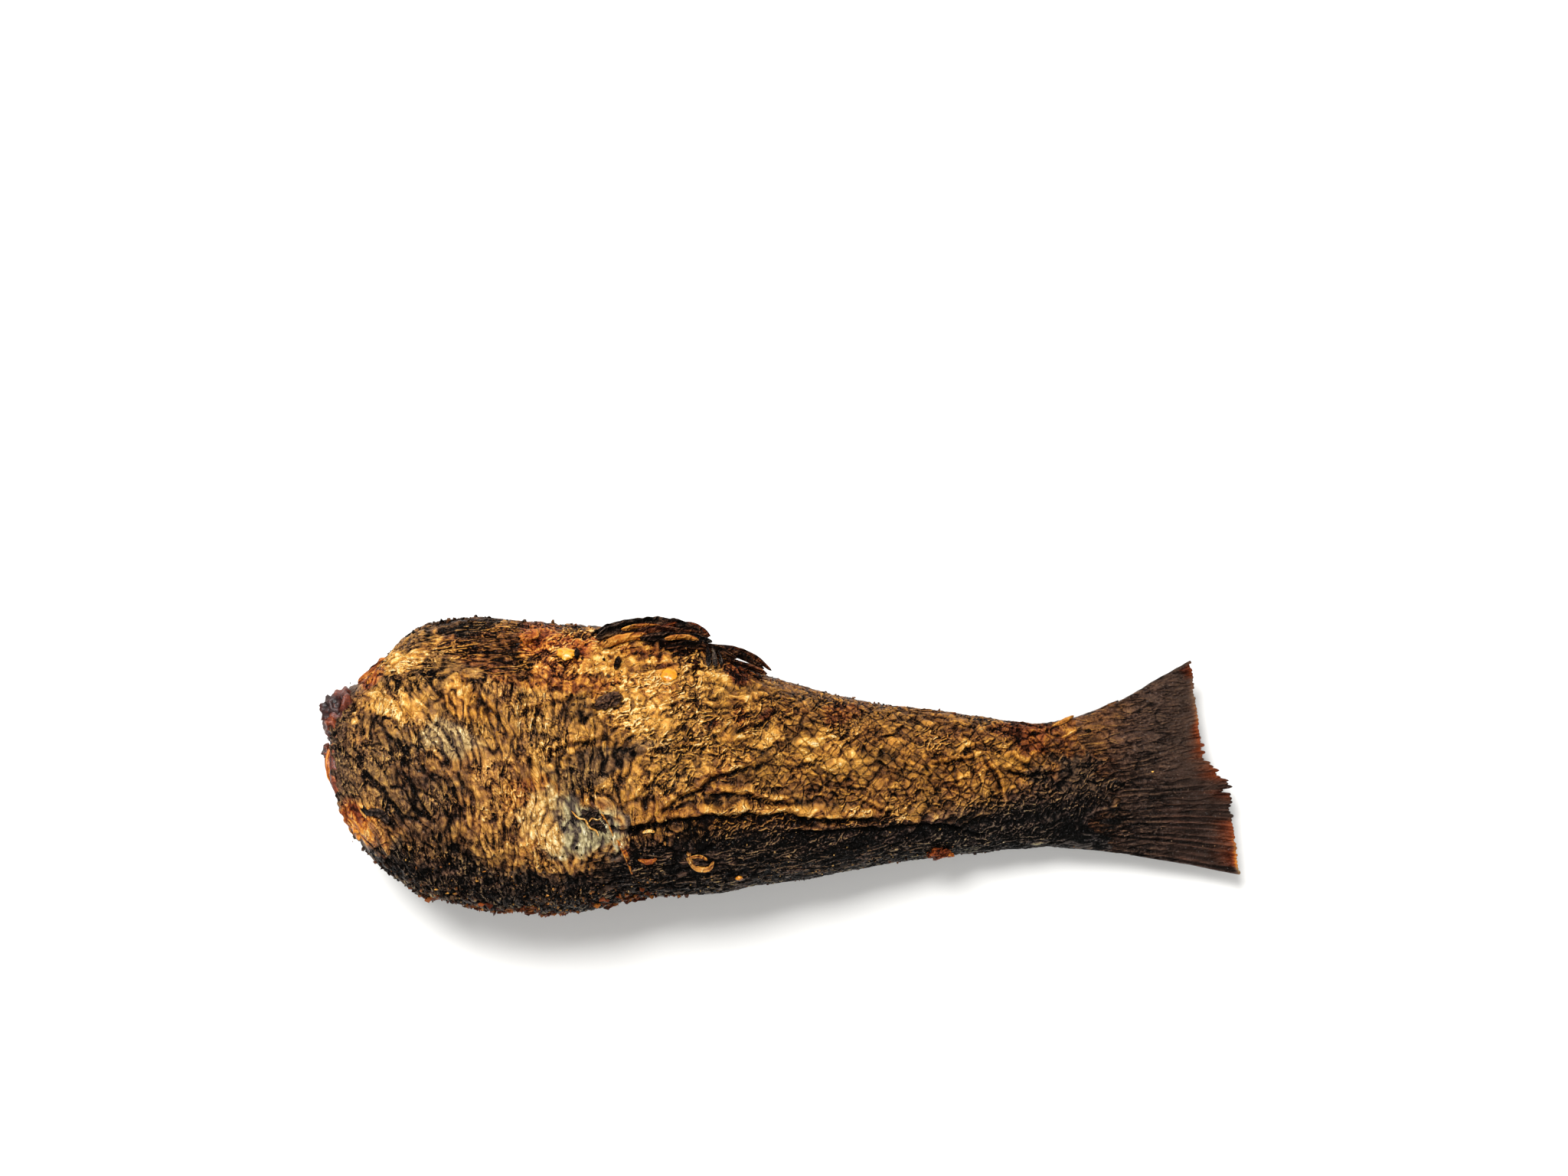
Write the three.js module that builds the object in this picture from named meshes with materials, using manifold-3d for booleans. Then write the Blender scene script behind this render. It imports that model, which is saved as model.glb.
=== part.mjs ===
// The tail end of a hot-smoked fish: the head end is cut off, the skin is on, and it lies on its side.
// Millimetres. X runs from the cut to the tail, Y from the back to the belly and Z up.
// The piece lies on Z = 0, and the middle of its outline is at X = 0, Y = 0.
import * as THREE from "three";
import { mergeVertices } from "three/addons/utils/BufferGeometryUtils.js";
import Module from "manifold-3d";

const { lerp, clamp, smoothstep } = THREE.MathUtils;

// The outline seen from above, as [x, y]: the belly edge and the back edge, from the cut to the fin's tips.
const BELLY_EDGE = [
  [-137, 27], [-131, 32.4], [-124, 41], [-114, 46.4], [-72, 46.2], [-48, 44], [-30, 40.6], [-14, 34],
  [2, 26.8], [24, 21.6], [71, 14.4], [90, 13.4], [111, 20.2], [135, 33.6], [153, 42],
];
const BACK_EDGE = [
  [-137, -25], [-131, -33], [-114, -42.5], [-98, -45.6], [-72, -47.2], [-48, -43], [2, -38.4],
  [48, -31.4], [90, -28.6], [123, -32.3], [153, -37.8],
];
// The side view, as [x, z]. Below Z = 0 the underside is pressed flat, as it dried lying on a grate.
const UPPER_SIDE = [
  [-137, 44], [-124, 51], [-98, 55.5], [-72, 56.5], [-30, 53], [2, 45], [48, 32.5], [90, 21.5],
  [111, 15], [135, 12.8], [153, 12.3],
];
const UNDERSIDE = [
  [-137, 5], [-124, 0.6], [-98, -0.8], [2, -0.8], [48, 0.2], [90, 5.8], [111, 9], [153, 10.7],
];
const FULLNESS = 2.25; // superellipse power of a body section
const BACK_HEAVY = 0.16; // share by which the back is thicker than the belly

// The tail fin: a thin plate with a ray at every second point across it.
const FIN_START = 82;
const FIN_FLAT = 109; // where the section has become a plate
const PLATE = { edgePower: 6, edgeTaper: 0.85 }; // how the plate thins at its two edges
const RAY_RIDGE = 0.22; // half height of a ray above the web
const TOOTH = { least: 0.4, most: 1.5, spread: 0.2, from: 0.6, even: 0.6 }; // ray tips, longest at mid fin
const LOBE_CURL = 3.0; // rise of the belly lobe towards its tip
const FIN_WAVE = { height: 0.8, across: 9, along: 0.12 };
// The trailing edge runs from the longer back lobe to the belly lobe, with one step where rays broke off.
const TRAIL = { backLobe: 152.5, slant: 11, step: 6.3, stepFrom: 0.4, stepTo: 0.56 };

// The cut end: a ragged dome of flesh inside a lip of shrunken skin, with the backbone's end in the middle.
// The lip stands out furthest on the upper side, a little towards the belly.
const SKIN_START = -137;
const LIP = { out: 1.6, share: 0.95, lean: 5, leanTurn: 0.45, leanReach: 18, smoothReach: 12 };
const GROOVE = { depth: 1.2, share: 0.88 };
const FLESH = { dome: 8, ragged: 1.7, grain: 7.5, raggedReach: 0.3 };
const BACKBONE = { share: 0.17, out: 2.0, rim: 0.14 };
const FLESH_RINGS = [0.12, 0.187, 0.36, 0.54, 0.7, 0.82]; // shares of the section
const FLESH_LUMPS = [
  { y: 15, z: 27, radius: 7.5, out: 8.5 },
  { y: -10, z: 33, radius: 4.5, out: 1.2 },
  { y: 19, z: 15, radius: 4.2, out: 2.6 },
  { y: -14, z: 17, radius: 5.0, out: 1.4 },
];

// Long folds of slack skin on the side. Each is a ridge with a crevice on its back side.
const FOLDS = [
  { height: 1.7, width: 2.6, line: [[-54, -16], [-36, -12.4], [-14, -12.6], [12, -14.2], [36, -15.2]] },
  { height: 1.1, width: 2.2, line: [[-28, -21], [-6, -19.6], [18, -18.6], [44, -17.8], [62, -17]] },
  { height: 1.2, width: 2.4, line: [[-50, -13], [-38, -7.4], [-28, -3.2], [-12, -1], [4, 1.2]] },
  { height: 0.9, width: 2.2, line: [[-42, 6.5], [-22, 7.6], [-6, 6.2], [10, 6]] },
  { height: 1.0, width: 2.4, line: [[-78, 13.5], [-62, 18], [-46, 21], [-28, 22], [-10, 20]] },
  { height: 1.1, width: 2.6, line: [[-121, 31], [-108, 27], [-94, 25.5], [-80, 23]] },
  { height: 0.8, width: 2.2, line: [[42, -1.5], [56, 1], [70, 3.2], [84, 5]] },
];
const CREVICE = { depth: 0.9, offset: 1.3, width: 0.7 }; // as shares of the fold's height and width
// The tear runs down the flank in front of the folds, and the skin on its head side lies lower.
const TEAR = { top: [-57, -11], end: [-43, -33], rim: 0.9, rimWidth: 1.8 };
const SUNKEN = { drop: 1.1, reach: 16, from: 4, full: 12 };
// Scabs and blisters that stand up from the skin.
const SCABS = [
  { x: -55, y: 22, radius: 3.6, height: 1.3 },
  { x: -69, y: 37, radius: 3.4, height: 1.2 },
  { x: -58, y: -16, radius: 3.8, height: 1.2 },
  { x: 51, y: -28, radius: 3.2, height: 1.5 },
];
const SIDE_RELIEF = { from: 0.15, full: 0.6 }; // folds fade where the skin turns away at the edges

// Relief over the whole skin. Wrinkles run round the body in front and along it behind.
const LUMPS = { size: 26, height: 1.3 };
const WRINKLES = { spacing: 7.5, stretch: 3.2, height: 0.9, frontEnds: -62, rearStarts: -38 };

// What is left of the fin behind the vent: a charred crest along the belly edge, and frayed strips.
const CREST = {
  root: 7.0,
  thick: 3.2,
  z: 27,
  outline: [[-74, 39], [-60, 46.2], [-47, 46.8], [-36, 45.6], [-27, 43.0]],
  teeth: [[-26.4, 42.2], [-31, 41.2], [-24.4, 40.2], [-29, 38.4]],
  curveSteps: 10,
};
const STRIPS = [
  { from: [-33, 38.5, 30], to: [-17, 36.6, 33], width: 2.6, thick: 1.3, bow: 1.0 },
  { from: [-27, 36.5, 27], to: [-10.5, 33.4, 29], width: 2.8, thick: 1.4, bow: 0.8 },
  { from: [-20, 34, 25], to: [-3.4, 29.6, 26], width: 2.4, thick: 1.3, bow: 1.6 },
  { from: [-24, 37, 24], to: [-13, 36, 22], width: 2.2, thick: 1.2, bow: 0.6 },
];
const STRIP_STEPS = 6;
const STRIP_TAPER = 0.65; // share of its width that a strip loses towards its tip

// How finely the surface is divided.
const AROUND = 80;
const FRONT_STEP = 3.6;
const REAR_STEP = 6.6;
const STEP_CHANGE = -36;
const FIN_RINGS = 14;
const MERGE_DISTANCE = 1e-3;

// Brings the middle of the outline to X = 0, Y = 0.
const CENTRING = new THREE.Vector3(-1.26, 0.3, 0);

const SMOKED_SKIN = new THREE.MeshStandardMaterial({ color: 0x6e4a24, roughness: 0.5, metalness: 0 });

// Height at x of a smooth curve through points with rising x.
function curveAt(points, x) {
  const last = points.length - 2;
  let i = 0;
  while (i < last && x > points[i + 1][0]) i++;
  const [[ax, ay], [bx, by]] = [points[i], points[i + 1]];
  const [beforeX, beforeY] = points[Math.max(i - 1, 0)];
  const [afterX, afterY] = points[Math.min(i + 2, last + 1)];
  const t = clamp((x - ax) / (bx - ax), 0, 1);
  const slopeA = ((by - beforeY) / (bx - beforeX)) * (bx - ax);
  const slopeB = ((afterY - ay) / (afterX - ax)) * (bx - ax);
  const ease = t * t * (3 - 2 * t);
  return lerp(ay, by, ease) + slopeA * t * (1 - t) ** 2 - slopeB * t * t * (1 - t);
}

// Repeatable random number from -1 to 1 at a lattice point.
function lattice(i, j, k) {
  const v = Math.sin(i * 127.1 + j * 311.7 + k * 74.7) * 43758.5453;
  return 2 * (v - Math.floor(v)) - 1;
}

// Smooth noise from -1 to 1.
function noise(x, y, z) {
  const [i, j, k] = [Math.floor(x), Math.floor(y), Math.floor(z)];
  const [u, v, w] = [x - i, y - j, z - k].map((t) => t * t * (3 - 2 * t));
  const along = (dj, dk) => lerp(lattice(i, j + dj, k + dk), lattice(i + 1, j + dj, k + dk), u);
  return lerp(lerp(along(0, 0), along(1, 0), v), lerp(along(0, 1), along(1, 1), v), w);
}

function signedPower(value, power) {
  return Math.sign(value) * Math.abs(value) ** power;
}

function bump(distance, width) {
  return Math.exp(-((distance / width) ** 2));
}

// Distance from (x, y) to a line of points, positive on the back side of it.
function distanceTo(line, x, y) {
  let nearest = Infinity;
  for (let i = 0; i + 1 < line.length; i++) {
    const [[ax, ay], [bx, by]] = [line[i], line[i + 1]];
    const [dx, dy] = [bx - ax, by - ay];
    const t = clamp(((x - ax) * dx + (y - ay) * dy) / (dx * dx + dy * dy), 0, 1);
    const distance = Math.hypot(x - ax - t * dx, y - ay - t * dy);
    const side = (x - ax) * dy - (y - ay) * dx > 0 ? 1 : -1;
    if (distance < Math.abs(nearest)) nearest = side * distance;
  }
  return nearest;
}

function foldHeight(x, y) {
  let sum = 0;
  for (const { height, width, line } of FOLDS) {
    const d = distanceTo(line, x, y);
    sum += height * bump(d, width);
    sum -= height * CREVICE.depth * bump(d - CREVICE.offset * width, CREVICE.width * width);
  }
  return sum;
}

function tearHeight(x, y) {
  const d = -distanceTo([TEAR.top, TEAR.end], x, y);
  const sunken = d < 0 ? SUNKEN.drop * bump(d, SUNKEN.reach) * smoothstep(-y, SUNKEN.from, SUNKEN.full) : 0;
  return TEAR.rim * bump(d, TEAR.rimWidth) - sunken;
}

function scabHeight(x, y) {
  let sum = 0;
  for (const scab of SCABS) sum += scab.height * bump(Math.hypot(x - scab.x, y - scab.y), scab.radius);
  return sum;
}

function wrinkleHeight(x, y, z) {
  const { spacing, stretch, height, frontEnds, rearStarts } = WRINKLES;
  const round = noise(x / spacing, y / spacing / stretch, z / spacing / stretch);
  const long = noise(x / spacing / stretch, y / spacing, z / spacing + 9);
  return height * lerp(round, long, smoothstep(x, frontEnds, rearStarts));
}

// How far the skin stands out at a point. up is 1 where it faces up and -1 where it faces down.
function relief(x, y, z, up) {
  const side = smoothstep(up, SIDE_RELIEF.from, SIDE_RELIEF.full);
  const broad = LUMPS.height * noise(x / LUMPS.size, y / LUMPS.size + 3, z / LUMPS.size);
  const details = foldHeight(x, y) + tearHeight(x, y) + scabHeight(x, y);
  return broad + side * details + wrinkleHeight(x, y, z);
}

// A point of the outer surface. turn runs from the belly edge over the upper side to the back edge and round
// below, share shrinks the section towards its middle, and the fin's edges are read at their own x.
function surfacePoint(x, turn, { share = 1, bellyX = x, backX = x } = {}) {
  const [belly, back] = [curveAt(BELLY_EDGE, bellyX), curveAt(BACK_EDGE, backX)];
  const [top, under] = [curveAt(UPPER_SIDE, x), curveAt(UNDERSIDE, x)];
  const [middleY, middleZ] = [(belly + back) / 2, (top + under) / 2];
  const [halfDeep, halfThick] = [(belly - back) / 2, (top - under) / 2];
  const [c, s] = [Math.cos(turn), Math.sin(turn)];
  const flat = smoothstep(x, FIN_START, FIN_FLAT);
  const even = 1 - (2 / Math.PI) * Math.acos(c);
  const deep = lerp(signedPower(c, 2 / FULLNESS), even, flat);
  const lens = Math.abs(s) ** (2 / FULLNESS) * (1 - BACK_HEAVY * c);
  const plate = Math.sqrt(1 - PLATE.edgeTaper * Math.abs(even) ** PLATE.edgePower);
  const thick = Math.sign(s) * lerp(lens, plate, flat);
  const smoothed = (1 - flat) * smoothstep(x, SKIN_START - 1, SKIN_START + LIP.smoothReach);
  const rise = smoothed * relief(x, middleY + halfDeep * deep, middleZ + halfThick * thick, s);
  const outward = new THREE.Vector2(halfThick * c, halfDeep * s).normalize();
  const facing = Math.max(Math.sin(turn + LIP.leanTurn), 0) ** 2;
  const lean = LIP.lean * share * facing * (1 - smoothstep(x, SKIN_START, SKIN_START + LIP.leanReach));
  const y = middleY + share * halfDeep * deep + rise * outward.x;
  const z = middleZ + share * halfThick * thick + rise * outward.y;
  return new THREE.Vector3(x - lean, y, Math.max(z, 0));
}

// Where the fin ends, from the back lobe (0) to the belly lobe (1).
function trailingEdge(across) {
  const stepped = TRAIL.step * smoothstep(across, TRAIL.stepFrom, TRAIL.stepTo);
  return TRAIL.backLobe - TRAIL.slant * across - stepped;
}

// A point of the tail fin: out from 0 at its root to 1 at the trailing edge.
function finPoint(out, index) {
  const half = AROUND / 2;
  const across = Math.abs(index - half) / half;
  const turn = (index / half) * Math.PI;
  const size = TOOTH.least + TOOTH.most * bump(across - 0.5, TOOTH.spread);
  const tooth = index % 2 ? -size : size * TOOTH.even * (1 + lattice(Math.round(across * half), 5, 2));
  const x = lerp(FIN_START, trailingEdge(across) + tooth * smoothstep(out, TOOTH.from, 1), out);
  const point = surfacePoint(x, turn, {
    bellyX: lerp(FIN_START, trailingEdge(1), out),
    backX: lerp(FIN_START, trailingEdge(0), out),
  });
  const ridge = (index % 2 ? -RAY_RIDGE : RAY_RIDGE) * Math.sign(Math.sin(turn));
  const wave = FIN_WAVE.height * Math.sin(across * FIN_WAVE.across + x * FIN_WAVE.along);
  point.z += smoothstep(x, FIN_START, FIN_FLAT) * out * (ridge + wave + LOBE_CURL * across ** 2);
  return point;
}

// A point of the cut end: share from 0 at the backbone to GROOVE.share at the lip.
function fleshPoint(share, turn) {
  const point = surfacePoint(SKIN_START, turn, { share });
  const rim = GROOVE.share - share;
  let out = FLESH.dome * (1 - (share / GROOVE.share) ** 2) - GROOVE.depth;
  for (const lump of FLESH_LUMPS) {
    out += lump.out * bump(Math.hypot(point.y - lump.y, point.z - lump.z), lump.radius);
  }
  out += BACKBONE.out * (1 - smoothstep(share, BACKBONE.rim, BACKBONE.share));
  const grain = noise(share * 2, point.y / FLESH.grain, point.z / FLESH.grain);
  out += FLESH.ragged * grain * smoothstep(rim, 0, FLESH.raggedReach) * smoothstep(share, 0, BACKBONE.share);
  point.x -= out;
  return point;
}

// Rings of points from the backbone's end, over the lip, and along the body to the tail.
function rings() {
  const made = [];
  const addRing = (pointAt) => {
    made.push(Array.from({ length: AROUND }, (_, i) => pointAt((i / AROUND) * 2 * Math.PI, i)));
  };
  for (const share of FLESH_RINGS) addRing((turn) => fleshPoint(share, turn));
  addRing((turn) => fleshPoint(GROOVE.share, turn));
  addRing((turn) => {
    const lip = surfacePoint(SKIN_START, turn, { share: LIP.share });
    return lip.setX(lip.x - LIP.out);
  });
  for (let x = SKIN_START; x < FIN_START - REAR_STEP / 3; x += x < STEP_CHANGE ? FRONT_STEP : REAR_STEP) {
    addRing((turn) => surfacePoint(x, turn));
  }
  for (let i = 0; i <= FIN_RINGS; i++) addRing((_, index) => finPoint(i / FIN_RINGS, index));
  return made;
}

// The closed surface over the rings, with a fan at the backbone and a strip along the fin's trailing edge.
function surfaceGeometry() {
  const loops = rings();
  const pole = new THREE.Vector3();
  for (const point of loops[0]) pole.addScaledVector(point, 1 / AROUND);
  const positions = [...pole.toArray(), ...loops.flat().flatMap((point) => point.toArray())];
  const at = (ring, i) => 1 + ring * AROUND + (i % AROUND);
  const faces = [];
  for (let i = 0; i < AROUND; i++) {
    faces.push(0, at(0, i + 1), at(0, i));
    for (let ring = 0; ring + 1 < loops.length; ring++) {
      faces.push(at(ring, i), at(ring, i + 1), at(ring + 1, i));
      faces.push(at(ring, i + 1), at(ring + 1, i + 1), at(ring + 1, i));
    }
  }
  const end = loops.length - 1;
  for (let i = 0; i < AROUND / 2; i++) {
    const [a, b, c, d] = [at(end, i), at(end, i + 1), at(end, AROUND - i), at(end, AROUND - i - 1)];
    if (c !== a) faces.push(a, b, c);
    if (b !== d) faces.push(b, d, c);
  }
  const geometry = new THREE.BufferGeometry();
  geometry.setAttribute("position", new THREE.Float32BufferAttribute(positions, 3));
  geometry.setIndex(faces);
  return geometry;
}

// The charred crest, cut from a sheet whose tail end is frayed into teeth.
function crestGeometry() {
  const shape = new THREE.Shape();
  const [first, ...rest] = CREST.outline;
  shape.moveTo(...first);
  shape.splineThru(rest.map(([x, y]) => new THREE.Vector2(x, y)));
  for (const [x, y] of CREST.teeth) shape.lineTo(x, y);
  const [lastX, lastY] = CREST.teeth.at(-1);
  shape.lineTo(lastX, lastY - CREST.root);
  shape.lineTo(first[0], first[1] - CREST.root);
  shape.closePath();
  const options = { depth: CREST.thick, bevelEnabled: false, curveSegments: CREST.curveSteps };
  return new THREE.ExtrudeGeometry(shape, options).translate(0, 0, CREST.z);
}

// A frayed strip: flat, bowed upwards and tapered to its tip.
function stripGeometry({ from, to, width, thick, bow }) {
  const geometry = new THREE.BoxGeometry(1, 1, 1, STRIP_STEPS, 1, 1);
  const [start, end] = [new THREE.Vector3(...from), new THREE.Vector3(...to)];
  const along = end.sub(start);
  const sideways = new THREE.Vector3(-along.y, along.x, 0).normalize();
  const position = geometry.getAttribute("position");
  for (let i = 0; i < position.count; i++) {
    const t = position.getX(i) + 0.5;
    const taper = 1 - STRIP_TAPER * t * t;
    const point = start.clone().addScaledVector(along, t);
    point.addScaledVector(sideways, position.getY(i) * width * taper);
    point.z += position.getZ(i) * thick * taper + bow * Math.sin(t * Math.PI);
    position.setXYZ(i, ...point.toArray());
  }
  return geometry;
}

const wasm = await Module();
wasm.setup();

function solidOf(geometry) {
  geometry.deleteAttribute("normal");
  geometry.deleteAttribute("uv");
  const merged = mergeVertices(geometry, MERGE_DISTANCE);
  return new wasm.Manifold(
    new wasm.Mesh({
      numProp: 3,
      vertProperties: merged.getAttribute("position").array,
      triVerts: new Uint32Array(merged.index.array),
    }),
  );
}

function geometryOf(solid) {
  const mesh = solid.getMesh();
  const geometry = new THREE.BufferGeometry();
  geometry.setAttribute("position", new THREE.BufferAttribute(mesh.vertProperties, 3));
  geometry.setIndex(new THREE.BufferAttribute(mesh.triVerts, 1));
  geometry.computeVertexNormals();
  return geometry;
}

let fishSolid = solidOf(surfaceGeometry()).add(solidOf(crestGeometry()));
for (const strip of STRIPS) fishSolid = fishSolid.add(solidOf(stripGeometry(strip)));

const fish = new THREE.Mesh(geometryOf(fishSolid), SMOKED_SKIN);
fish.name = "smoked_fish";
fish.position.copy(CENTRING);

const part = new THREE.Group();
part.add(fish);

export default part;
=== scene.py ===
"""The tail end of a hot-smoked fish: its skin, fin, cut flesh and char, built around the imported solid."""

import itertools
import math

import bmesh
import bpy
import numpy as np
from mathutils import Matrix, Vector


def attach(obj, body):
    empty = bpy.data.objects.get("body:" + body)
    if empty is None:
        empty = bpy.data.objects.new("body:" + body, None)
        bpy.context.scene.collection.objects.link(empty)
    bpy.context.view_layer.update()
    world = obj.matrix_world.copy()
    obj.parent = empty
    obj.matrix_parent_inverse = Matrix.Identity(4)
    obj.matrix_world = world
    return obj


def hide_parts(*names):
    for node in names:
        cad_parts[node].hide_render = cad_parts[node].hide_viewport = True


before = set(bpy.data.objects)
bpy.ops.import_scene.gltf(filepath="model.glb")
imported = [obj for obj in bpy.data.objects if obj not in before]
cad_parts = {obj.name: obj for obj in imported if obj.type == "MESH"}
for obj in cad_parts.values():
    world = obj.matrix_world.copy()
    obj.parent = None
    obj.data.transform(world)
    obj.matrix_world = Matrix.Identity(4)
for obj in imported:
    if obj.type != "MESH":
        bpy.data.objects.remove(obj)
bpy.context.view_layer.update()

# Shape, in millimetres and in the solid's own coordinates: X from the cut to the tail, Y from the back to the
# belly and Z up. The centring that brings the outline's middle to the origin comes last.
MM = 0.001
CENTRING = np.array([-1.26, 0.3, 0.0])
BELLY_EDGE = [
    (-137, 27), (-131, 32.4), (-124, 41), (-114, 46.4), (-72, 46.2), (-48, 44), (-30, 40.6), (-14, 34),
    (2, 26.8), (24, 21.6), (71, 14.4), (90, 13.4), (111, 20.2), (135, 33.6), (153, 42),
]
BACK_EDGE = [
    (-137, -25), (-131, -33), (-114, -42.5), (-98, -45.6), (-72, -47.2), (-48, -43), (2, -38.4),
    (48, -31.4), (90, -28.6), (123, -32.3), (153, -37.8),
]
UPPER_SIDE = [
    (-137, 44), (-124, 51), (-98, 55.5), (-72, 56.5), (-30, 53), (2, 45), (48, 32.5), (90, 21.5),
    (111, 15), (135, 12.8), (153, 12.3),
]
UNDERSIDE = [(-137, 5), (-124, 0.6), (-98, -0.8), (2, -0.8), (48, 0.2), (90, 5.8), (111, 9), (153, 10.7)]
FULLNESS = 2.25
BACK_HEAVY = 0.16
PLATE_EDGE_POWER, PLATE_EDGE_TAPER = 6, 0.85
SKIN_START = -137.0
LIP_LEAN, LIP_LEAN_TURN, LIP_LEAN_REACH = 5.0, 0.45, 18.0
FIN_START, FIN_FLAT = 82.0, 109.0
LOBE_CURL = 3.0
FIN_WAVE_HEIGHT, FIN_WAVE_ACROSS, FIN_WAVE_ALONG = 0.8, 9.0, 0.12
TRAIL_BACK_LOBE, TRAIL_SLANT, TRAIL_STEP, TRAIL_STEP_FROM, TRAIL_STEP_TO = 152.5, 11.0, 6.3, 0.4, 0.56

# The skin is two shells that meet without a step: each dives under the other a little past the meeting place.
# Both have more columns on the upper side, which has the finest creases.
SKIN_MEETS, SKIN_END = -20.0, 112.0
LIP_ROWS, FRONT_ROWS, REAR_ROWS = 22, 276, 250
UPPER_COLUMNS, LOWER_COLUMNS = 222, 78
COLUMN_EVENING = 0.12

# Repeatable noise.
SHUFFLED = np.random.default_rng(7).permutation(256)
DIRECTIONS = np.random.default_rng(8).normal(size=(256, 3))
DIRECTIONS /= np.linalg.norm(DIRECTIONS, axis=1, keepdims=True)


def mix(a, b, share):
    return a + (b - a) * share


def ease(value, start, end):
    """0 up to start, 1 from end on, and smooth between."""
    t = np.clip((value - start) / (end - start), 0, 1)
    return t * t * (3 - 2 * t)


def bump(distance, width):
    return np.exp(-((distance / width) ** 2))


def shuffled(at):
    """A repeatable number from 0 to 255 for each whole-number place."""
    return SHUFFLED[(SHUFFLED[(SHUFFLED[at[:, 0] & 255] + at[:, 1]) & 255] + at[:, 2]) & 255]


def noise(p, spacing, seed=0):
    """Smooth gradient noise at the points p, mostly -1 to 1, with bumps spacing millimetres apart."""
    q = p / np.asarray(spacing, float) + 19.7 * seed
    cell = np.floor(q).astype(int)
    f = q - cell
    eased = f * f * f * (f * (f * 6 - 15) + 10)
    total = np.zeros(len(p))
    for corner in itertools.product((0, 1), repeat=3):
        weight = np.prod(np.where(corner, eased, 1 - eased), axis=1)
        total += weight * np.einsum("ij,ij->i", DIRECTIONS[shuffled(cell + corner)], f - corner)
    return 1.8 * total


def cells(p, spacing, seed=0):
    """Irregular cells, spacing mm wide: the distance to the nearest edge and the cell's own chance."""
    q = p / np.asarray(spacing, float) + 7.3 * seed
    cell = np.floor(q).astype(int)
    nearest = np.full(len(p), 9.0)
    second, chance = nearest.copy(), np.zeros(len(p))
    for step in itertools.product((-1, 0, 1), repeat=3):
        at = cell + step
        index = shuffled(at)
        distance = np.linalg.norm(at + 0.5 + 0.45 * DIRECTIONS[index] - q, axis=1)
        chance = np.where(distance < nearest, index / 255, chance)
        second = np.where(distance < nearest, nearest, np.minimum(second, distance))
        nearest = np.minimum(nearest, distance)
    return second - nearest, chance


def warped(p, spacing, amount, seed=0):
    """The points p, each pushed about by up to roughly amount millimetres."""
    push = [noise(p, spacing, seed + i) for i in (31, 32, 33)]
    return p + amount * np.stack(push, axis=1)


def turned(p, degrees):
    """The points p turned about Z, so that their first column runs along that bearing."""
    a = math.radians(degrees)
    return np.stack([p[:, 0] * math.cos(a) + p[:, 1] * math.sin(a),
                     p[:, 1] * math.cos(a) - p[:, 0] * math.sin(a), p[:, 2]], axis=1)


def curve_at(points, x):
    """Height at x of a smooth curve through points with rising x, as in the solid."""
    xs, ys = np.array(points, float).T
    i = np.clip(np.searchsorted(xs, x) - 1, 0, len(xs) - 2)
    before, after = np.maximum(i - 1, 0), np.minimum(i + 2, len(xs) - 1)
    span = xs[i + 1] - xs[i]
    t = np.clip((x - xs[i]) / span, 0, 1)
    slope_a = (ys[i + 1] - ys[before]) / (xs[i + 1] - xs[before]) * span
    slope_b = (ys[after] - ys[i]) / (xs[after] - xs[i]) * span
    eased = t * t * (3 - 2 * t)
    return mix(ys[i], ys[i + 1], eased) + slope_a * t * (1 - t) ** 2 - slope_b * t * t * (1 - t)


def outer_surface(x, turn, share=1.0, belly_x=None, back_x=None):
    """The solid's smooth outer surface: its points, the way each faces, and how far round and up it lies."""
    belly = curve_at(BELLY_EDGE, x if belly_x is None else belly_x)
    back = curve_at(BACK_EDGE, x if back_x is None else back_x)
    top, under = curve_at(UPPER_SIDE, x), curve_at(UNDERSIDE, x)
    half_deep, half_thick = (belly - back) / 2, (top - under) / 2
    c, s = np.cos(turn), np.sin(turn)
    s = np.where(np.abs(s) < 1e-9, 0.0, s)
    flat = ease(x, FIN_START, FIN_FLAT)
    even = 1 - 2 * np.arccos(np.clip(c, -1, 1)) / np.pi
    deep = mix(np.sign(c) * np.abs(c) ** (2 / FULLNESS), even, flat)
    lens = np.abs(s) ** (2 / FULLNESS) * (1 - BACK_HEAVY * c)
    plate = np.sqrt(1 - PLATE_EDGE_TAPER * np.abs(even) ** PLATE_EDGE_POWER)
    thick = np.sign(s) * mix(lens, plate, flat)
    facing = np.stack([np.zeros_like(c), half_thick * c, half_deep * s], axis=1)
    facing /= np.linalg.norm(facing, axis=1, keepdims=True)
    towards = np.maximum(np.sin(turn + LIP_LEAN_TURN), 0) ** 2
    lean = LIP_LEAN * share * towards * (1 - ease(x, SKIN_START, SKIN_START + LIP_LEAN_REACH))
    y = (belly + back) / 2 + share * half_deep * deep
    z = (top + under) / 2 + share * half_thick * thick
    middle = (half_deep + half_thick) / 2 * (turn - np.pi / 2)
    along_section = middle - (half_deep - half_thick) / 4 * np.sin(2 * turn)
    return np.stack([x - lean, y, z], axis=1), facing, s, along_section


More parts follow.
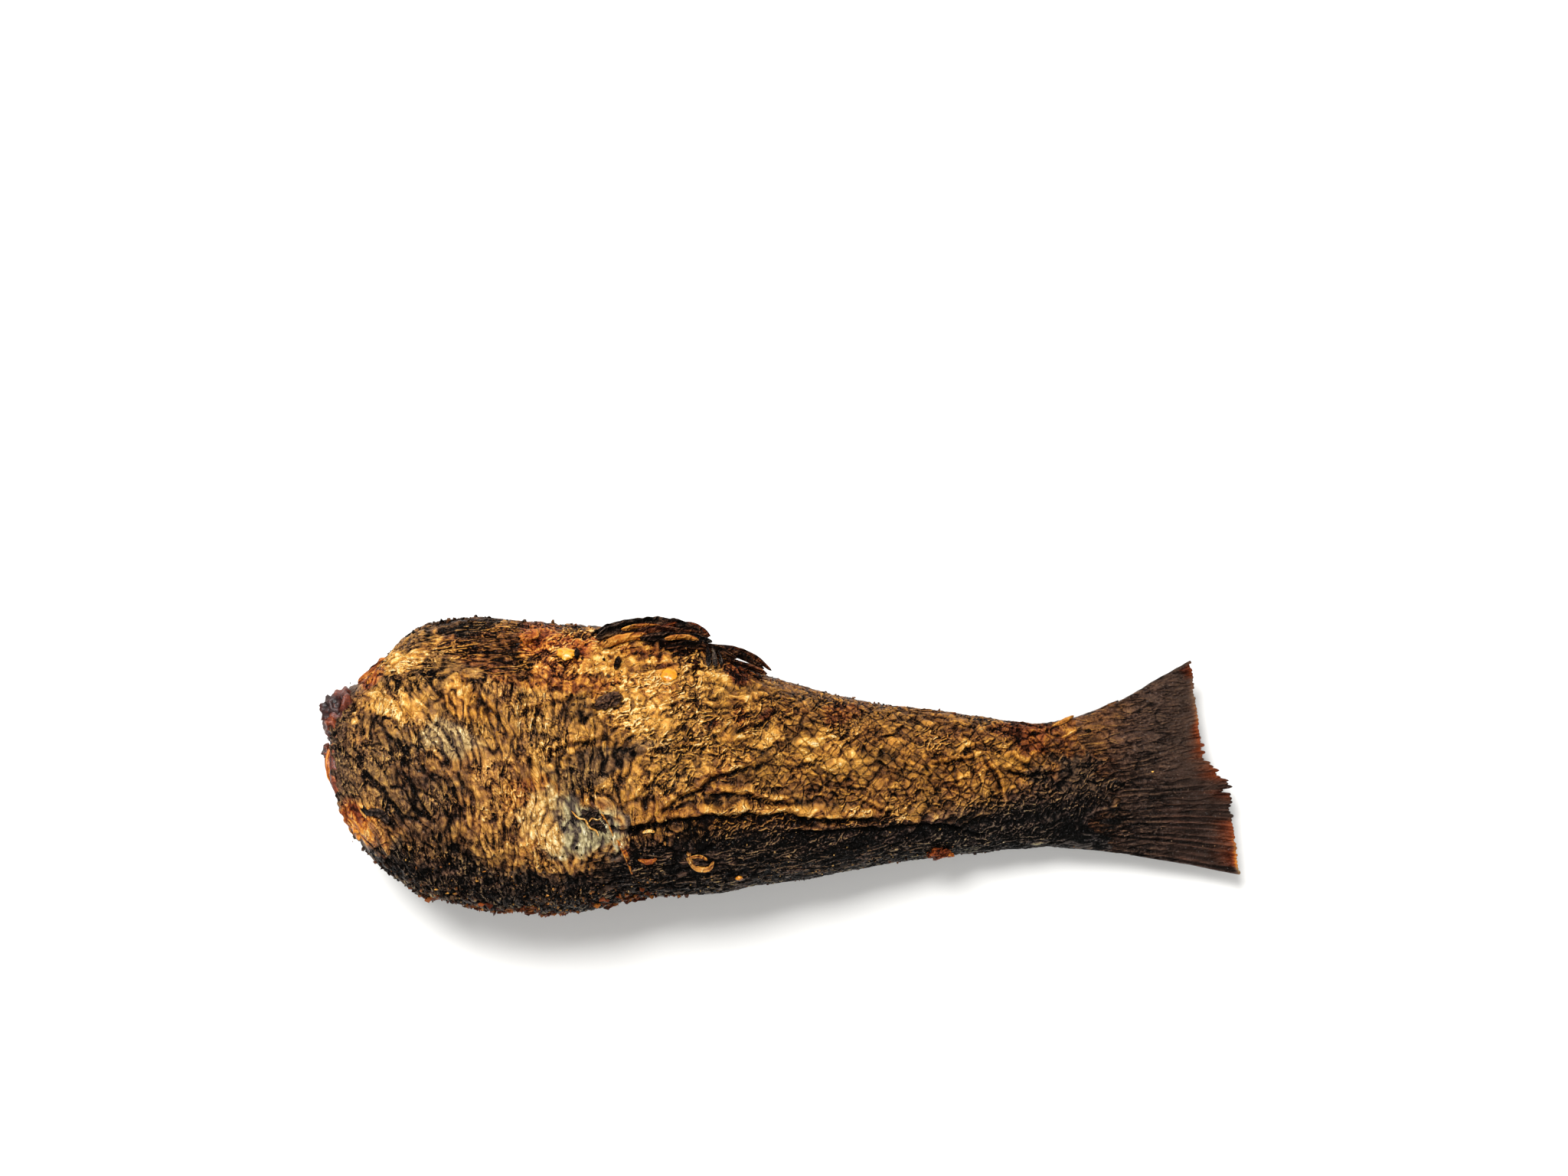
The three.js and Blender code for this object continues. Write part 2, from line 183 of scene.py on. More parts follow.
# Long folds of slack skin: height, width, crevice depth, and the line as (x, y). The crevice is on the right
# hand of the line's own direction.
FOLDS = [
    (2.0, 1.9, 1.2, [(-51, -16), (-41.6, -14.4), (-33.4, -12.8), (-24.4, -11.9), (-8.6, -12.8), (-0.6, -11.9),
                     (6.1, -13.6), (17.9, -14.6), (31.4, -14.4)]),
    (1.1, 1.5, 1.1, [(1.9, -18.5), (23, -18.5), (38.6, -17.6), (52, -17.2), (60.6, -19.6), (64.4, -21.9)]),
    (1.0, 1.2, 0.8, [(-50.6, -9.6), (-45.5, -5.5), (-40.6, -0.6)]),
    (1.4, 1.5, 1.1, [(-50.6, -15.9), (-42.7, -13.8), (-38, -10.1), (-33.3, -5.9), (-27, -4.1), (-22.7, -0.4),
                     (-13.8, 2), (-6, 3.4)]),
    (1.1, 1.4, 1.1, [(-25.9, -5.9), (-19.1, -5.4), (-11.7, -6.1), (-9.1, -7.5), (-3.3, -8.2), (3, -9.3)]),
    (0.9, 1.2, 0.7, [(-43, -19.6), (-39.1, -20.6), (-33.9, -23.3), (-28, -24.6), (-20, -21)]),
    (0.8, 1.2, 0.7, [(-83, 20.4), (-75.5, 22.1), (-67.9, 24.4), (-61.2, 25.4), (-56.6, 29.5)]),
    (0.8, 1.1, 0.6, [(-38, 23.5), (-32.1, 20.9), (-27, 21.4), (-19.9, 21.4), (-11.7, 22.6), (-4, 24)]),
    (0.8, 1.1, 0.6, [(-47.4, 7.1), (-39.3, 8.1), (-32.1, 9.1), (-24.5, 9.1), (-17.9, 10.6), (-11, 10.4)]),
    (0.6, 1.0, 0.5, [(-20, 12), (-11.7, 14.2), (-6.6, 16.2), (-2.6, 18.6)]),
    (0.7, 1.3, 1.0, [(-74, 8), (-66.4, 9.6), (-60.6, 11.1), (-56, 13.5)]),
    (0.7, 1.1, 0.4, [(-29.1, 29.5), (-21.9, 30), (-14.3, 28.2), (-3.6, 26)]),
    (1.3, 1.2, 0.9, [(67.3, 3.4), (68.4, 0.5), (71.1, -2.8), (72.5, -6.1), (72, -14)]),
    (1.0, 1.1, 0.6, [(48.1, 2.1), (49.1, -3.8)]),
    (1.0, 1.1, 0.6, [(57.1, 0.6), (57.1, -7.1)]),
    (1.2, 1.1, 0.6, [(73, 3.9), (76.4, 4.1), (78.3, 2), (80.6, 1.1), (84, 3.4), (86, 7)]),
    (1.2, 1.1, 0.7, [(47, 1.6), (57.6, 2.9), (67.3, 3.9)]),
    (1.2, 1.3, 0.8, [(70.6, -0.9), (74.4, -0.4), (80, -2.6), (90, -1.5)]),
    (0.7, 1.2, 0.6, [(26, -9), (30, -11.6), (35, -13.6)]),
]
CREVICE_OFFSET, CREVICE_WIDTH = 1.15, 0.45
# The tear down the flank: its rim stands up, and the skin on its head side lies lower.
TEAR = [
    (-62.6, -9.4), (-57.9, -11.8), (-55.9, -15.6), (-53.5, -20.4), (-50.1, -24.2), (-48.2, -28.6), (-46, -33),
]
TEAR_RIM, TEAR_RIM_WIDTH, TEAR_DROP, TEAR_REACH = 1.0, 1.5, 1.1, 16.0
# One scale at the tail root, corner to corner along the fish.
SCALE_LONG = 4.7
# Heights of the finer relief: broad wrinkles on the middle, the rear and the front, small wrinkles, pockets
# where scales were, long thin ridges with their creases, and grain where the skin is smooth or grainy.
BROAD_MIDDLE, BROAD_REAR, BROAD_FRONT = 0.55, 0.36, 0.95
SMALL_HEIGHT, POCKET_DEPTH = 0.34, 0.16
THIN_HEIGHT, THIN_DEPTH = 0.55, 0.40
GRAIN_SMOOTH, GRAIN_ROUGH = 0.07, 0.32
# A thin ridge's crease lies this far to its shaded side.
SHADED_SIDE = np.array([0.45, -0.85, 0.0])


def distance_to(line, p):
    """Distance from the points p to a line of (x, y) points, positive on its right-hand side."""
    nearest = np.full(len(p), np.inf)
    for (ax, ay), (bx, by) in zip(line, line[1:]):
        dx, dy = bx - ax, by - ay
        t = np.clip(((p[:, 0] - ax) * dx + (p[:, 1] - ay) * dy) / (dx * dx + dy * dy), 0, 1)
        distance = np.hypot(p[:, 0] - ax - t * dx, p[:, 1] - ay - t * dy)
        side = np.where((p[:, 0] - ax) * dy - (p[:, 1] - ay) * dx > 0, 1, -1)
        nearest = np.where(distance < np.abs(nearest), side * distance, nearest)
    return nearest


def end_fade(line, p, reach=4.0):
    """1 along a line and fading to 0 past its two ends."""
    first, last = np.array(line[0]), np.array(line[-1])
    near_end = np.minimum(np.hypot(*(p[:, :2] - first).T), np.hypot(*(p[:, :2] - last).T))
    return mix(0.35, 1.0, ease(near_end, 0, reach))


def folds(p):
    """Ridge and crevice heights of the named folds at the points p."""
    ridge, crevice = np.zeros(len(p)), np.zeros(len(p))
    q = warped(p, 7.0, 0.8, 1)
    q = warped(q, 2.6, 0.35, 2)
    uneven = 1 + 0.35 * noise(p, 6.0, 3)
    for height, width, depth, line in FOLDS:
        d = distance_to(line, q)
        fade = end_fade(line, q)
        ridge += height * fade * uneven * bump(d, 0.75 * width)
        crevice += depth * fade * bump(d - CREVICE_OFFSET * width, CREVICE_WIDTH * width)
    return ridge, crevice


def ridges(n, steepness=2.2):
    """0 in the creases, where the noise n changes sign, rising to 1 on the rounded ridges between them."""
    return np.minimum(np.sqrt(n * n + 0.0009) * steepness, 1.0)


def skin_relief(p, up):
    """How far the skin stands out at the points p, in millimetres, and the painted highlight and shade that
    go with that relief, with some mottling and grain.
    Also where the skin is scaly, steeply wrinkled, striped or lined, and where the tear's rim is."""
    x, y = p[:, 0], p[:, 1]
    side = ease(up, 0.05, 0.4)
    front = 1 - ease(x + 0.9 * y * (up > 0), -54, -30)
    rear = ease(x, -34, -4)
    middle = np.clip(1 - front - rear, 0, 1)
    striped = np.maximum(ease(y, 27, 33) * (1 - ease(x, -86, -74)), ease(-y, 21, 28) * ease(x, -70, -48))
    striped = np.maximum(striped, 0.8 * (1 - ease(up, -0.1, 0.25)))
    tail = ease(x, 74, 104)
    calm = 1 - 0.5 * tail
    lumps = 1.0 * noise(p, 26, 4) + 0.55 * noise(p, 11, 5)

    soft = warped(warped(p, 15, 2.4, 6), 5, 0.9, 7)
    slanted = noise(turned(soft, -60), (13, 2.7, 5), 8)
    upright = noise(turned(soft, -84), (11, 2.5, 5), 9)
    steep = mix(slanted, upright, ease(x, -112, -88))
    netted = noise(turned(soft, 30), (6.0, 3.6, 4), 10)
    lengthwise = noise(turned(soft, -3), (10, 2.8, 2.8), 11)
    striae = noise(turned(soft, 3), (13, 1.9, 1.9), 12)
    broad = mix(front * steep + middle * netted + rear * mix(netted, lengthwise, 0.6), striae, striped)
    broad_ridges = ridges(broad, 3.2)
    broad_crease_shade, broad_lip_highlight = bump(broad, 0.10), bump(broad - 0.23, 0.11)

    fine = warped(soft, 2.4, 0.5, 13)
    fine_steep = noise(turned(fine, -70), (4.5, 1.35, 2.0), 14)
    fine_net = noise(fine, (2.4, 1.9, 1.9), 15)
    fine_long = noise(turned(fine, 8), (5.0, 1.4, 1.4), 16)
    small = mix(front * fine_steep + (1 - front) * fine_net, fine_long, np.maximum(striped, 0.35 * rear))
    small_ridges = ridges(small)

    pocket_edge, pocket_chance = cells(warped(p, 6, 1.1, 17), (3.9, 3.5, 3.5), 18)
    pocket = (1 - ease(pocket_edge, 0.0, 0.24)) * (1 - 0.7 * front) * (1 - striped) * side

    # Two sets of long thin ridges cross each other: spacing, bearing, strength and seed.
    thin_ridge, thin_crease = np.zeros(len(p)), np.zeros(len(p))
    for spacing, bearing, strength, seed in (((11, 6.5, 6.5), 20, 1.0, 19), ((7, 4.0, 4.0), -25, 0.7, 38)):
        where = turned(soft, bearing)
        broken = ease(noise(p, 7, seed + 1), -0.25, 0.15)
        broken = broken * (1 - 0.6 * striped) * (1 - 0.35 * front) * strength
        thin_ridge += bump(noise(where, spacing, seed), 0.085) * broken
        beside = turned(soft - SHADED_SIDE, bearing)
        thin_crease += bump(noise(beside, spacing, seed), 0.10) * broken

    fold_ridge, fold_crevice = folds(p)
    d = -distance_to(TEAR, warped(p, 4, 1.1, 21))
    sunken = np.where(d < 0, bump(d, TEAR_REACH), 0) * ease(-y, 4, 12)
    rim = bump(d, TEAR_RIM_WIDTH) * end_fade(TEAR, p, 6)
    grainy = (1 - ease(y + 0.15 * np.abs(x + 60), -22, -14)) * (1 - ease(x, -40, -10)) * side
    grain = noise(p, 1.25, 22) + 0.5 * noise(p, 0.85, 23)

    height = lumps * calm + side * (fold_ridge - fold_crevice + TEAR_RIM * rim - TEAR_DROP * sunken)
    height += calm * mix(mix(BROAD_MIDDLE, BROAD_REAR, rear), BROAD_FRONT, front) * (broad_ridges - 0.6)
    height += calm * SMALL_HEIGHT * (small_ridges - 0.6) - POCKET_DEPTH * pocket
    height += calm * (THIN_HEIGHT * thin_ridge - THIN_DEPTH * thin_crease)
    height += mix(GRAIN_SMOOTH, GRAIN_ROUGH, grainy) * grain
    # Painted shade and highlight: the broad and small wrinkles are painted darker in their creases and
    # lighter on their ridges, with a pale line beside each broad crease.
    relief_shading_and_mottling = mix(0.14, 0.26, front) * (broad_ridges - 0.74) + mix(0.19, 0.12, rear) * broad_lip_highlight
    relief_shading_and_mottling -= mix(0.17, 0.08, rear) * broad_crease_shade
    relief_shading_and_mottling += mix(0.18, 0.10, rear) * (small_ridges - 0.75)
    # Each thin ridge is painted lighter and its crease on the shaded side darker: painted highlight and
    # shade.
    relief_shading_and_mottling += 0.26 * thin_ridge - 0.34 * thin_crease + 0.08 * side * (pocket_chance - 0.5)
    relief_shading_and_mottling -= mix(0.10, 0.04, rear) * pocket
    relief_shading_and_mottling += mix(0.05, 0.18, grainy) * grain
    relief_shading_and_mottling = np.clip(relief_shading_and_mottling, -0.40, 0.30)
    # Painted highlight on fold ridges and the tear's rim, and painted shade in fold crevices.
    relief_shading_and_mottling += side * (mix(0.10, 0.20, rear) * np.minimum(fold_ridge, 1.0) + 0.2 * rim)
    relief_shading_and_mottling -= side * 0.36 * np.minimum(fold_crevice, 1.3)
    scaly = ease(x, -24, 6) * (1 - ease(x, 84, 102)) * ease(noise(p, 15, 24), -0.65, 0.0)
    scaly *= ease(y, -15, -9) * ease(up, 0.1, 0.4)
    crinkled = ease(noise(p, (14, 9, 9), 48) + 0.3 * noise(p, 3, 49), -0.35, 0.35)
    lined = mix(1.0, 0.45, np.maximum(scaly, tail)) * mix(0.42, 1.35, crinkled)
    flow = {"scaly": scaly, "steep": front * (1 - striped), "striped": striped, "lined": lined}
    return height, relief_shading_and_mottling, flow, side * (rim + 0.35 * np.minimum(fold_ridge, 1))


# Patches of colour on the skin: x, y, half length, half depth and tilt, then the tone, from 0 for black to 1
# for cream, and the patch's shares of orange and of silver.
PATCHES = [
    # golden flank, from the middle to the tail root
    (-40, 14, 44, 21, 5, 0.65, 0.05, 0.03),
    (-60, 33, 30, 11, -6, 0.64, 0.55, 0.0),
    (10, 8, 42, 17, -8, 0.55, 0.10, 0.0),
    (60, 3, 38, 12, -4, 0.56, 0.12, 0.0),
    # brown strokes between the gold and the cut
    (-78, 17, 19, 10, 8, 0.57, 0.06, 0.08),
    (-92, 38.5, 19, 7.5, -6, 0.31, 0.26, 0.0),
    (-94, 31.5, 12, 2.4, -12, 0.42, 0.40, 0.0),
    (-118, 29.5, 15, 3.2, 10, 0.48, 0.0, 0.1),
    # pale patches
    (-119, 37, 12, 4.4, 22, 0.82, 0.20, 0.0),
    (-122, 21.5, 13, 5.4, 8, 0.84, 0.06, 0.0),
    (-45, 20, 13, 7.5, -20, 0.82, 0.06, 0.0),
    (-52, 32.5, 18, 5, -12, 0.78, 0.24, 0.0),
    (-10, 11.5, 10, 2.8, 12, 0.78, 0.08, 0.0),
    (-22, 26.5, 19, 4.2, -12, 0.76, 0.10, 0.0),
    (14, 6, 14, 4.4, -20, 0.76, 0.08, 0.0),
    (-99, 23, 9, 4.4, -20, 0.66, 0.20, 0.0),
    # grey bloom over the front
    (-101, 9, 12, 7, -20, 0.68, 0.0, 0.55),
    (-60, 1, 22, 5, 12, 0.48, 0.0, 0.30),
    # dark wrinkled skin behind the cut
    (-126, 2, 11, 15, -60, 0.46, 0.06, 0.25),
    (-114, -12, 13, 13, -55, 0.32, 0.10, 0.28),
    (-106, -28, 12, 6, -20, 0.28, 0.10, 0.28),
    # golden orange strip in front of the silver patch
    (-93, -8, 7.5, 18, -4, 0.64, 0.20, 0.14),
    (-79, -5, 10, 5, 0, 0.62, 0.38, 0.05),
    # silver patch with its yellow middle
    (-68, -18, 18, 13, -8, 0.76, 0.0, 0.60),
    (-61, -18, 10.5, 10, 0, 0.70, 0.0, 0.85),
    (-77, -17, 8, 11, 10, 0.84, 0.05, 0.20),
    (-79, -24, 4, 4, 0, 0.70, 0.25, 0.1),
    # the burnt lower front
    (-94, -41, 50, 10, -2, 0.26, 0.05, 0.60),
    (-126, -34, 14, 10, -40, 0.25, 0.0, 0.6),
    # rusty bits on the tear's rim, the belly edge and the tail root
    (-49, -26, 2.6, 8, 24, 0.55, 0.7, 0.0),
    (-73, 42, 13, 4.6, -2, 0.62, 0.95, 0.0),
    (-133, 30, 4, 5, 40, 0.5, 0.95, 0.0),
    (-20, 35, 12, 3.2, -24, 0.24, 0.7, 0.0),
    (19, 15.5, 4, 6, -30, 0.38, 0.50, 0.0),
    (-13, 17.5, 2.4, 3, 0, 0.33, 0.5, 0.0),
    (-20, 14, 2.2, 2, 0, 0.33, 0.5, 0.0),
    (-4, 19.5, 2.6, 1.6, 30, 0.33, 0.5, 0.0),
    (84, 9, 14, 5.4, -6, 0.38, 0.60, 0.0),
    (101, 8, 16, 8, 4, 0.50, 0.30, 0.0),
    (106, -5, 24, 9, 4, 0.27, 0.05, 0.45),
    # torn skin beside the cut, showing orange flesh
    (-134, -17, 7.5, 7.5, -30, 0.82, 1.0, 0.0),
    # the scorched edge above the frayed fin's root
    (-104, 45, 16, 3.0, 12, 0.22, 0.0, 0.2),
    (-30, 38, 12, 2.2, -12, 0.10, 0.4, 0.1),
]
# Below this line the back is smoked black.
BLACK_BACK = [
    (-137, -22), (-120, -26), (-100, -29), (-72, -32), (-56, -29), (-49, -23), (-30, -19.5), (0, -18),
    (40, -16.5), (60, -12), (80, -7), (100, -8), (125, -16),
]
# Raw orange flesh in the tear beside the cut: its middle and its half length and half depth.
RAW_X, RAW_Y, RAW_LONG, RAW_DEEP = -134.5, -16.5, 7.5, 6.5


def patch(p, rough, x, y, long, deep, tilt):
    """How far the points p lie inside a soft, ragged oval seen from above: 1 inside and 0 outside."""
    q = turned(p - np.array([x, y, 0]), tilt)
    return 1 - ease(np.hypot(q[:, 0] / long, q[:, 1] / deep) + 0.20 * rough, 0.72, 1.12)


def skin_colours(p, up, relief_shading_and_mottling, rim):
    """Tone, orange and silver of the skin at the points p."""
    rough = noise(p, 9, 25) + 0.8 * noise(p, 4.2, 26) + 0.6 * noise(p, 1.9, 27)
    q = warped(warped(p, 14, 4.0, 34), 6, 2.2, 35)
    tone = np.full(len(p), 0.50)
    orange, silver = np.full(len(p), 0.10), mix(0.16, 0.05, ease(p[:, 0], -100, -60))
    for x, y, long, deep, tilt, patch_tone, patch_orange, patch_silver in PATCHES:
        weight = 0.95 * patch(q, rough, x, y, long, deep, tilt)
        tone = mix(tone, 0.96 * patch_tone, weight)
        orange = mix(orange, patch_orange, weight)
        silver = mix(silver, patch_silver, weight)
    fore = 1 - ease(p[:, 0], -60, -20)
    tone += mix(0.05, 0.10, fore) * noise(p, 6, 28) + mix(0.10, 0.16, fore) * noise(p, 2.2, 29)
    dulled = ease(curve_at(FOLDS[0][3], p[:, 0]) - 1.5 - p[:, 1], 0, 1.5) * ease(p[:, 0], -50, -44)
    tone = mix(tone, 0.27 + 0.06 * rough, 0.85 * dulled * (1 - ease(p[:, 0], 62, 76)))
    into_back = curve_at(BLACK_BACK, p[:, 0]) - p[:, 1] + 1.8 * rough
    back = ease(into_back, -2.0, mix(5.0, 11.0, ease(p[:, 0], 40, 70)))
    fleck = ease(noise(turned(p, 20), (10, 2.6, 4), 36) + 0.35 * noise(p, 1.6, 37), 0.12, 0.62)
    # A band along the rounded edge of the black back is painted lighter and greyer there, a painted
    # highlight.
    brink_highlight = ease(up, 0.0, 0.15) * (1 - ease(up + 0.05 * rough, 0.30, 0.60))
    crumbly = 1 - ease(p[:, 0], -62, -44)
    tone = mix(tone, 0.03 + 0.09 * crumbly + 0.05 * rough + 0.24 * fleck + 0.10 * brink_highlight, back)
    aft = ease(p[:, 0], 10, 60)
    orange, silver = mix(orange, 0.05 + 0.2 * fleck, back), mix(silver, 0.56 + 0.2 * aft + 0.25 * brink_highlight, back)
    belly = p[:, 1] > 0
    edge = 1 - ease(np.where(belly, up + 0.15, np.abs(up)) + 0.10 * rough, 0.08, 0.42)
    tone = mix(tone, np.where(belly, 0.27, 0.17) + 0.12 * rough, 0.8 * edge)
    orange = mix(orange, np.where(belly, 0.30, 0.1), 0.5 * edge)
    rusty = bump(p[:, 0] + 72, 24) * (1 - ease(up + 0.08 * rough, 0.0, 0.26)) * ~belly
    tone, orange = mix(tone, 0.42, 0.8 * rusty), mix(orange, 0.8, rusty)
    beneath = ease(-up, 0.1, 0.5)
    tone = mix(tone, 0.30 + 0.08 * rough, 0.8 * beneath)
    # The relief's painted highlight and shade, with the mottling, go into the tone here.
    tone = tone + mix(1.0, 0.75 + 0.9 * brink_highlight, back) * relief_shading_and_mottling
    orange = np.clip(orange + 0.4 * rim + 0.12 * rough, 0, 1)
    return {"tone": tone, "orange": orange, "silver": np.clip(silver, 0, 1)}


def shell(name, rows, columns, place):
    """A closed surface: a grid rolled round its columns and drawn together at its first and last rows."""
    mesh = bpy.data.meshes.new(name)
    grid = bmesh.new()
    bmesh.ops.create_grid(grid, x_segments=rows, y_segments=columns, size=0.5)
    grid.to_mesh(mesh)
    grid.free()
    places = np.empty(len(mesh.vertices) * 3, np.float32)
    mesh.vertices.foreach_get("co", places)
    places = np.round((places.reshape(-1, 3)[:, :2] + 0.5) * (rows, columns))
    points, values = place(places[:, 0].astype(float), places[:, 1] / columns)
    mesh.vertices.foreach_set("co", ((points + CENTRING) * MM).astype(np.float32).ravel())
    for key, value in values.items():
        kind, field = ("FLOAT", "value") if value.ndim == 1 else ("FLOAT_VECTOR", "vector")
        mesh.attributes.new(key, kind, "POINT").data.foreach_set(field, value.astype(np.float32).ravel())
    rolled = bmesh.new()
    rolled.from_mesh(mesh)
    bmesh.ops.remove_doubles(rolled, verts=rolled.verts, dist=1e-3 * MM)
    bmesh.ops.recalc_face_normals(rolled, faces=rolled.faces)
    for face in rolled.faces:
        face.smooth = True
    rolled.to_mesh(mesh)
    rolled.free()
    return mesh


def piece(name, meshes, material):
    """One object from one or more meshes, riding on the fish and standing for its solid."""
    joined = bmesh.new()
    for mesh in meshes:
        joined.from_mesh(mesh)
    whole = bpy.data.meshes.new(name)
    joined.to_mesh(whole)
    joined.free()
    whole.materials.append(material)
    made = bpy.data.objects.new(name, whole)
    bpy.context.scene.collection.objects.link(made)
    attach(made, "root")
    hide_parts("smoked_fish")


# Each skin's course, as (row, x, share of the section, depth below the surface). The front one starts inside
# the cut, rolls over the lip and runs back along the body. The rear one ends under the surface of the fin.
OVERLAP_ROWS = 5
FRONT_LAST = LIP_ROWS + FRONT_ROWS
FRONT_COURSE = [
    (0, -134.5, 0.0, 0), (1, -134.5, 0.80, 0), (4, -135.5, 0.87, 0), (8, -138.4, 0.885, 0),
    (11, -139.6, 0.905, 0), (14, -139.9, 0.935, 0), (17, -139.4, 0.965, 0), (20, -138.2, 0.99, 0),
    (LIP_ROWS, SKIN_START, 1.0, 0), (FRONT_LAST, SKIN_MEETS, 1.0, 0),
    (FRONT_LAST + 1, SKIN_MEETS + 0.5, 1.0, 0.02), (FRONT_LAST + 2, SKIN_MEETS + 1.0, 1.0, 0.1),
    (FRONT_LAST + 3, SKIN_MEETS + 1.4, 1.0, 0.4),
    (FRONT_LAST + 4, SKIN_MEETS + 1.5, 0.9, 0), (FRONT_LAST + OVERLAP_ROWS, SKIN_MEETS + 1.5, 0.0, 0),
]
REAR_LAST = OVERLAP_ROWS + REAR_ROWS
REAR_COURSE = [
    (0, SKIN_MEETS - 1.5, 0.0, 0), (1, SKIN_MEETS - 1.5, 0.9, 0), (2, SKIN_MEETS - 1.4, 1.0, 0.4),
    (3, SKIN_MEETS - 1.0, 1.0, 0.1), (4, SKIN_MEETS - 0.5, 1.0, 0.02), (OVERLAP_ROWS, SKIN_MEETS, 1.0, 0),
    (REAR_LAST, SKIN_END, 1.0, 0), (REAR_LAST + 1, SKIN_END + 0.3, 1.0, 0.2),
    (REAR_LAST + 2, SKIN_END + 0.3, 1.0, 0.6), (REAR_LAST + 3, SKIN_END - 6, 0.5, 0.6),
    (REAR_LAST + 4, SKIN_END - 6, 0.0, 0),
]


def turn_at(column_share):
    """Turn round the section for a share of the columns: finer steps over the upper side."""
    upper_share = UPPER_COLUMNS / (UPPER_COLUMNS + LOWER_COLUMNS)
    t = np.where(column_share < upper_share, column_share / upper_share,
                 1 + (column_share - upper_share) / (1 - upper_share))
    return np.pi * t + COLUMN_EVENING * np.sin(2 * np.pi * t)


def skin_at(x, turn, share=1.0, sunk=0.0):
    """Points of the finished skin, the way it faces there, and its colours."""
    p, facing, up, around = outer_surface(x, turn, share)
    ragged = noise(p, (50, 5, 5), 30) + 0.6 * noise(p, (50, 2, 2), 31)
    lip = 1 - ease(x, SKIN_START - 1, SKIN_START + 5)
    end = ease(x, SKIN_END - 14, SKIN_END)
    p[:, 0] += (1.3 * ragged * lip + 3.0 * ragged * end) * (share > 0)
    height, relief_shading_and_mottling, flow, rim = skin_relief(p, up)
    settled = mix(0.35, 1.0, ease(x, SKIN_START - 2, SKIN_START + 10))
    settled = settled * (1 - ease(x, FIN_START, FIN_FLAT) * 0.6)
    rise = np.where(share > 0, height * settled - sunk, 0)
    colours = {**skin_colours(p, up, relief_shading_and_mottling, rim), **flow}
    smooth = colours["silver"] * ease(colours["tone"], 0.3, 0.5)
    # lined sets how strongly the shader's grain and painted wrinkle highlights and shades show: more on the
    # dark skin, less where it is smooth and silvery.
    colours["lined"] = flow["lined"] * mix(2.0, 1.0, ease(colours["tone"], 0.08, 0.36)) * (1 - 0.5 * smooth)
    torn = bump(p[:, 1] + 17, 6.5) * (up > 0)
    colours["tone"] = mix(colours["tone"], 0.36 + 0.10 * ragged, lip * ease(up, -0.2, 0.3) * (1 - torn))
    colours["silver"] = mix(colours["silver"], 0.45, lip * (1 - torn))
    from_raw = np.hypot((p[:, 0] - RAW_X) / RAW_LONG, (p[:, 1] - RAW_Y) / RAW_DEEP)
    raw = (1 - ease(from_raw + 0.3 * ragged, 0.6, 1.1)) * (up > 0)
    # The raw flesh also takes the relief's painted highlight and shade.
    colours["tone"] = mix(colours["tone"], 0.68 + 0.25 * ragged + 0.8 * relief_shading_and_mottling, raw)
    colours["orange"], colours["silver"] = mix(colours["orange"], 1.0, raw), colours["silver"] * (1 - raw)
    laid = np.stack([x + 1.2 * noise(p, 9, 32), around + 1.2 * noise(p, 9, 33), np.zeros_like(x)], axis=1)
    colours["scale_place"] = turned(laid, 45) / (SCALE_LONG / math.sqrt(2))
    p = p + facing * rise[:, None]
    p[:, 2] = np.maximum(p[:, 2], 0)
    return p, facing, colours


def skin_placer(course):
    """Places a skin shell's rows and columns along its course."""
    rows, xs, shares, depths = np.array(course, float).T

    def place(row, column_share):
        x, share, sunk = (np.interp(row, rows, values) for values in (xs, shares, depths))
        p, _, colours = skin_at(x, turn_at(column_share), share, sunk)
        return p, colours

    return place


def plain_colours(tone, orange, silver, striped=0.0, lined=0.5):
    """The colours of a part with no scales, for the skin's material."""
    even = np.zeros_like(tone)
    return {"tone": tone, "orange": even + orange, "silver": even + silver, "scaly": even, "steep": even,
            "striped": even + striped, "lined": even + lined, "scale_place": np.zeros((len(tone), 3))}


# The tail fin.
FIN_ROWS, FIN_HALF_COLUMNS, FIN_ROOT = 130, 230, 0.28
RAYS, RAY_RIDGE, RAY_FORKS_FROM = 30, 0.22, 0.62


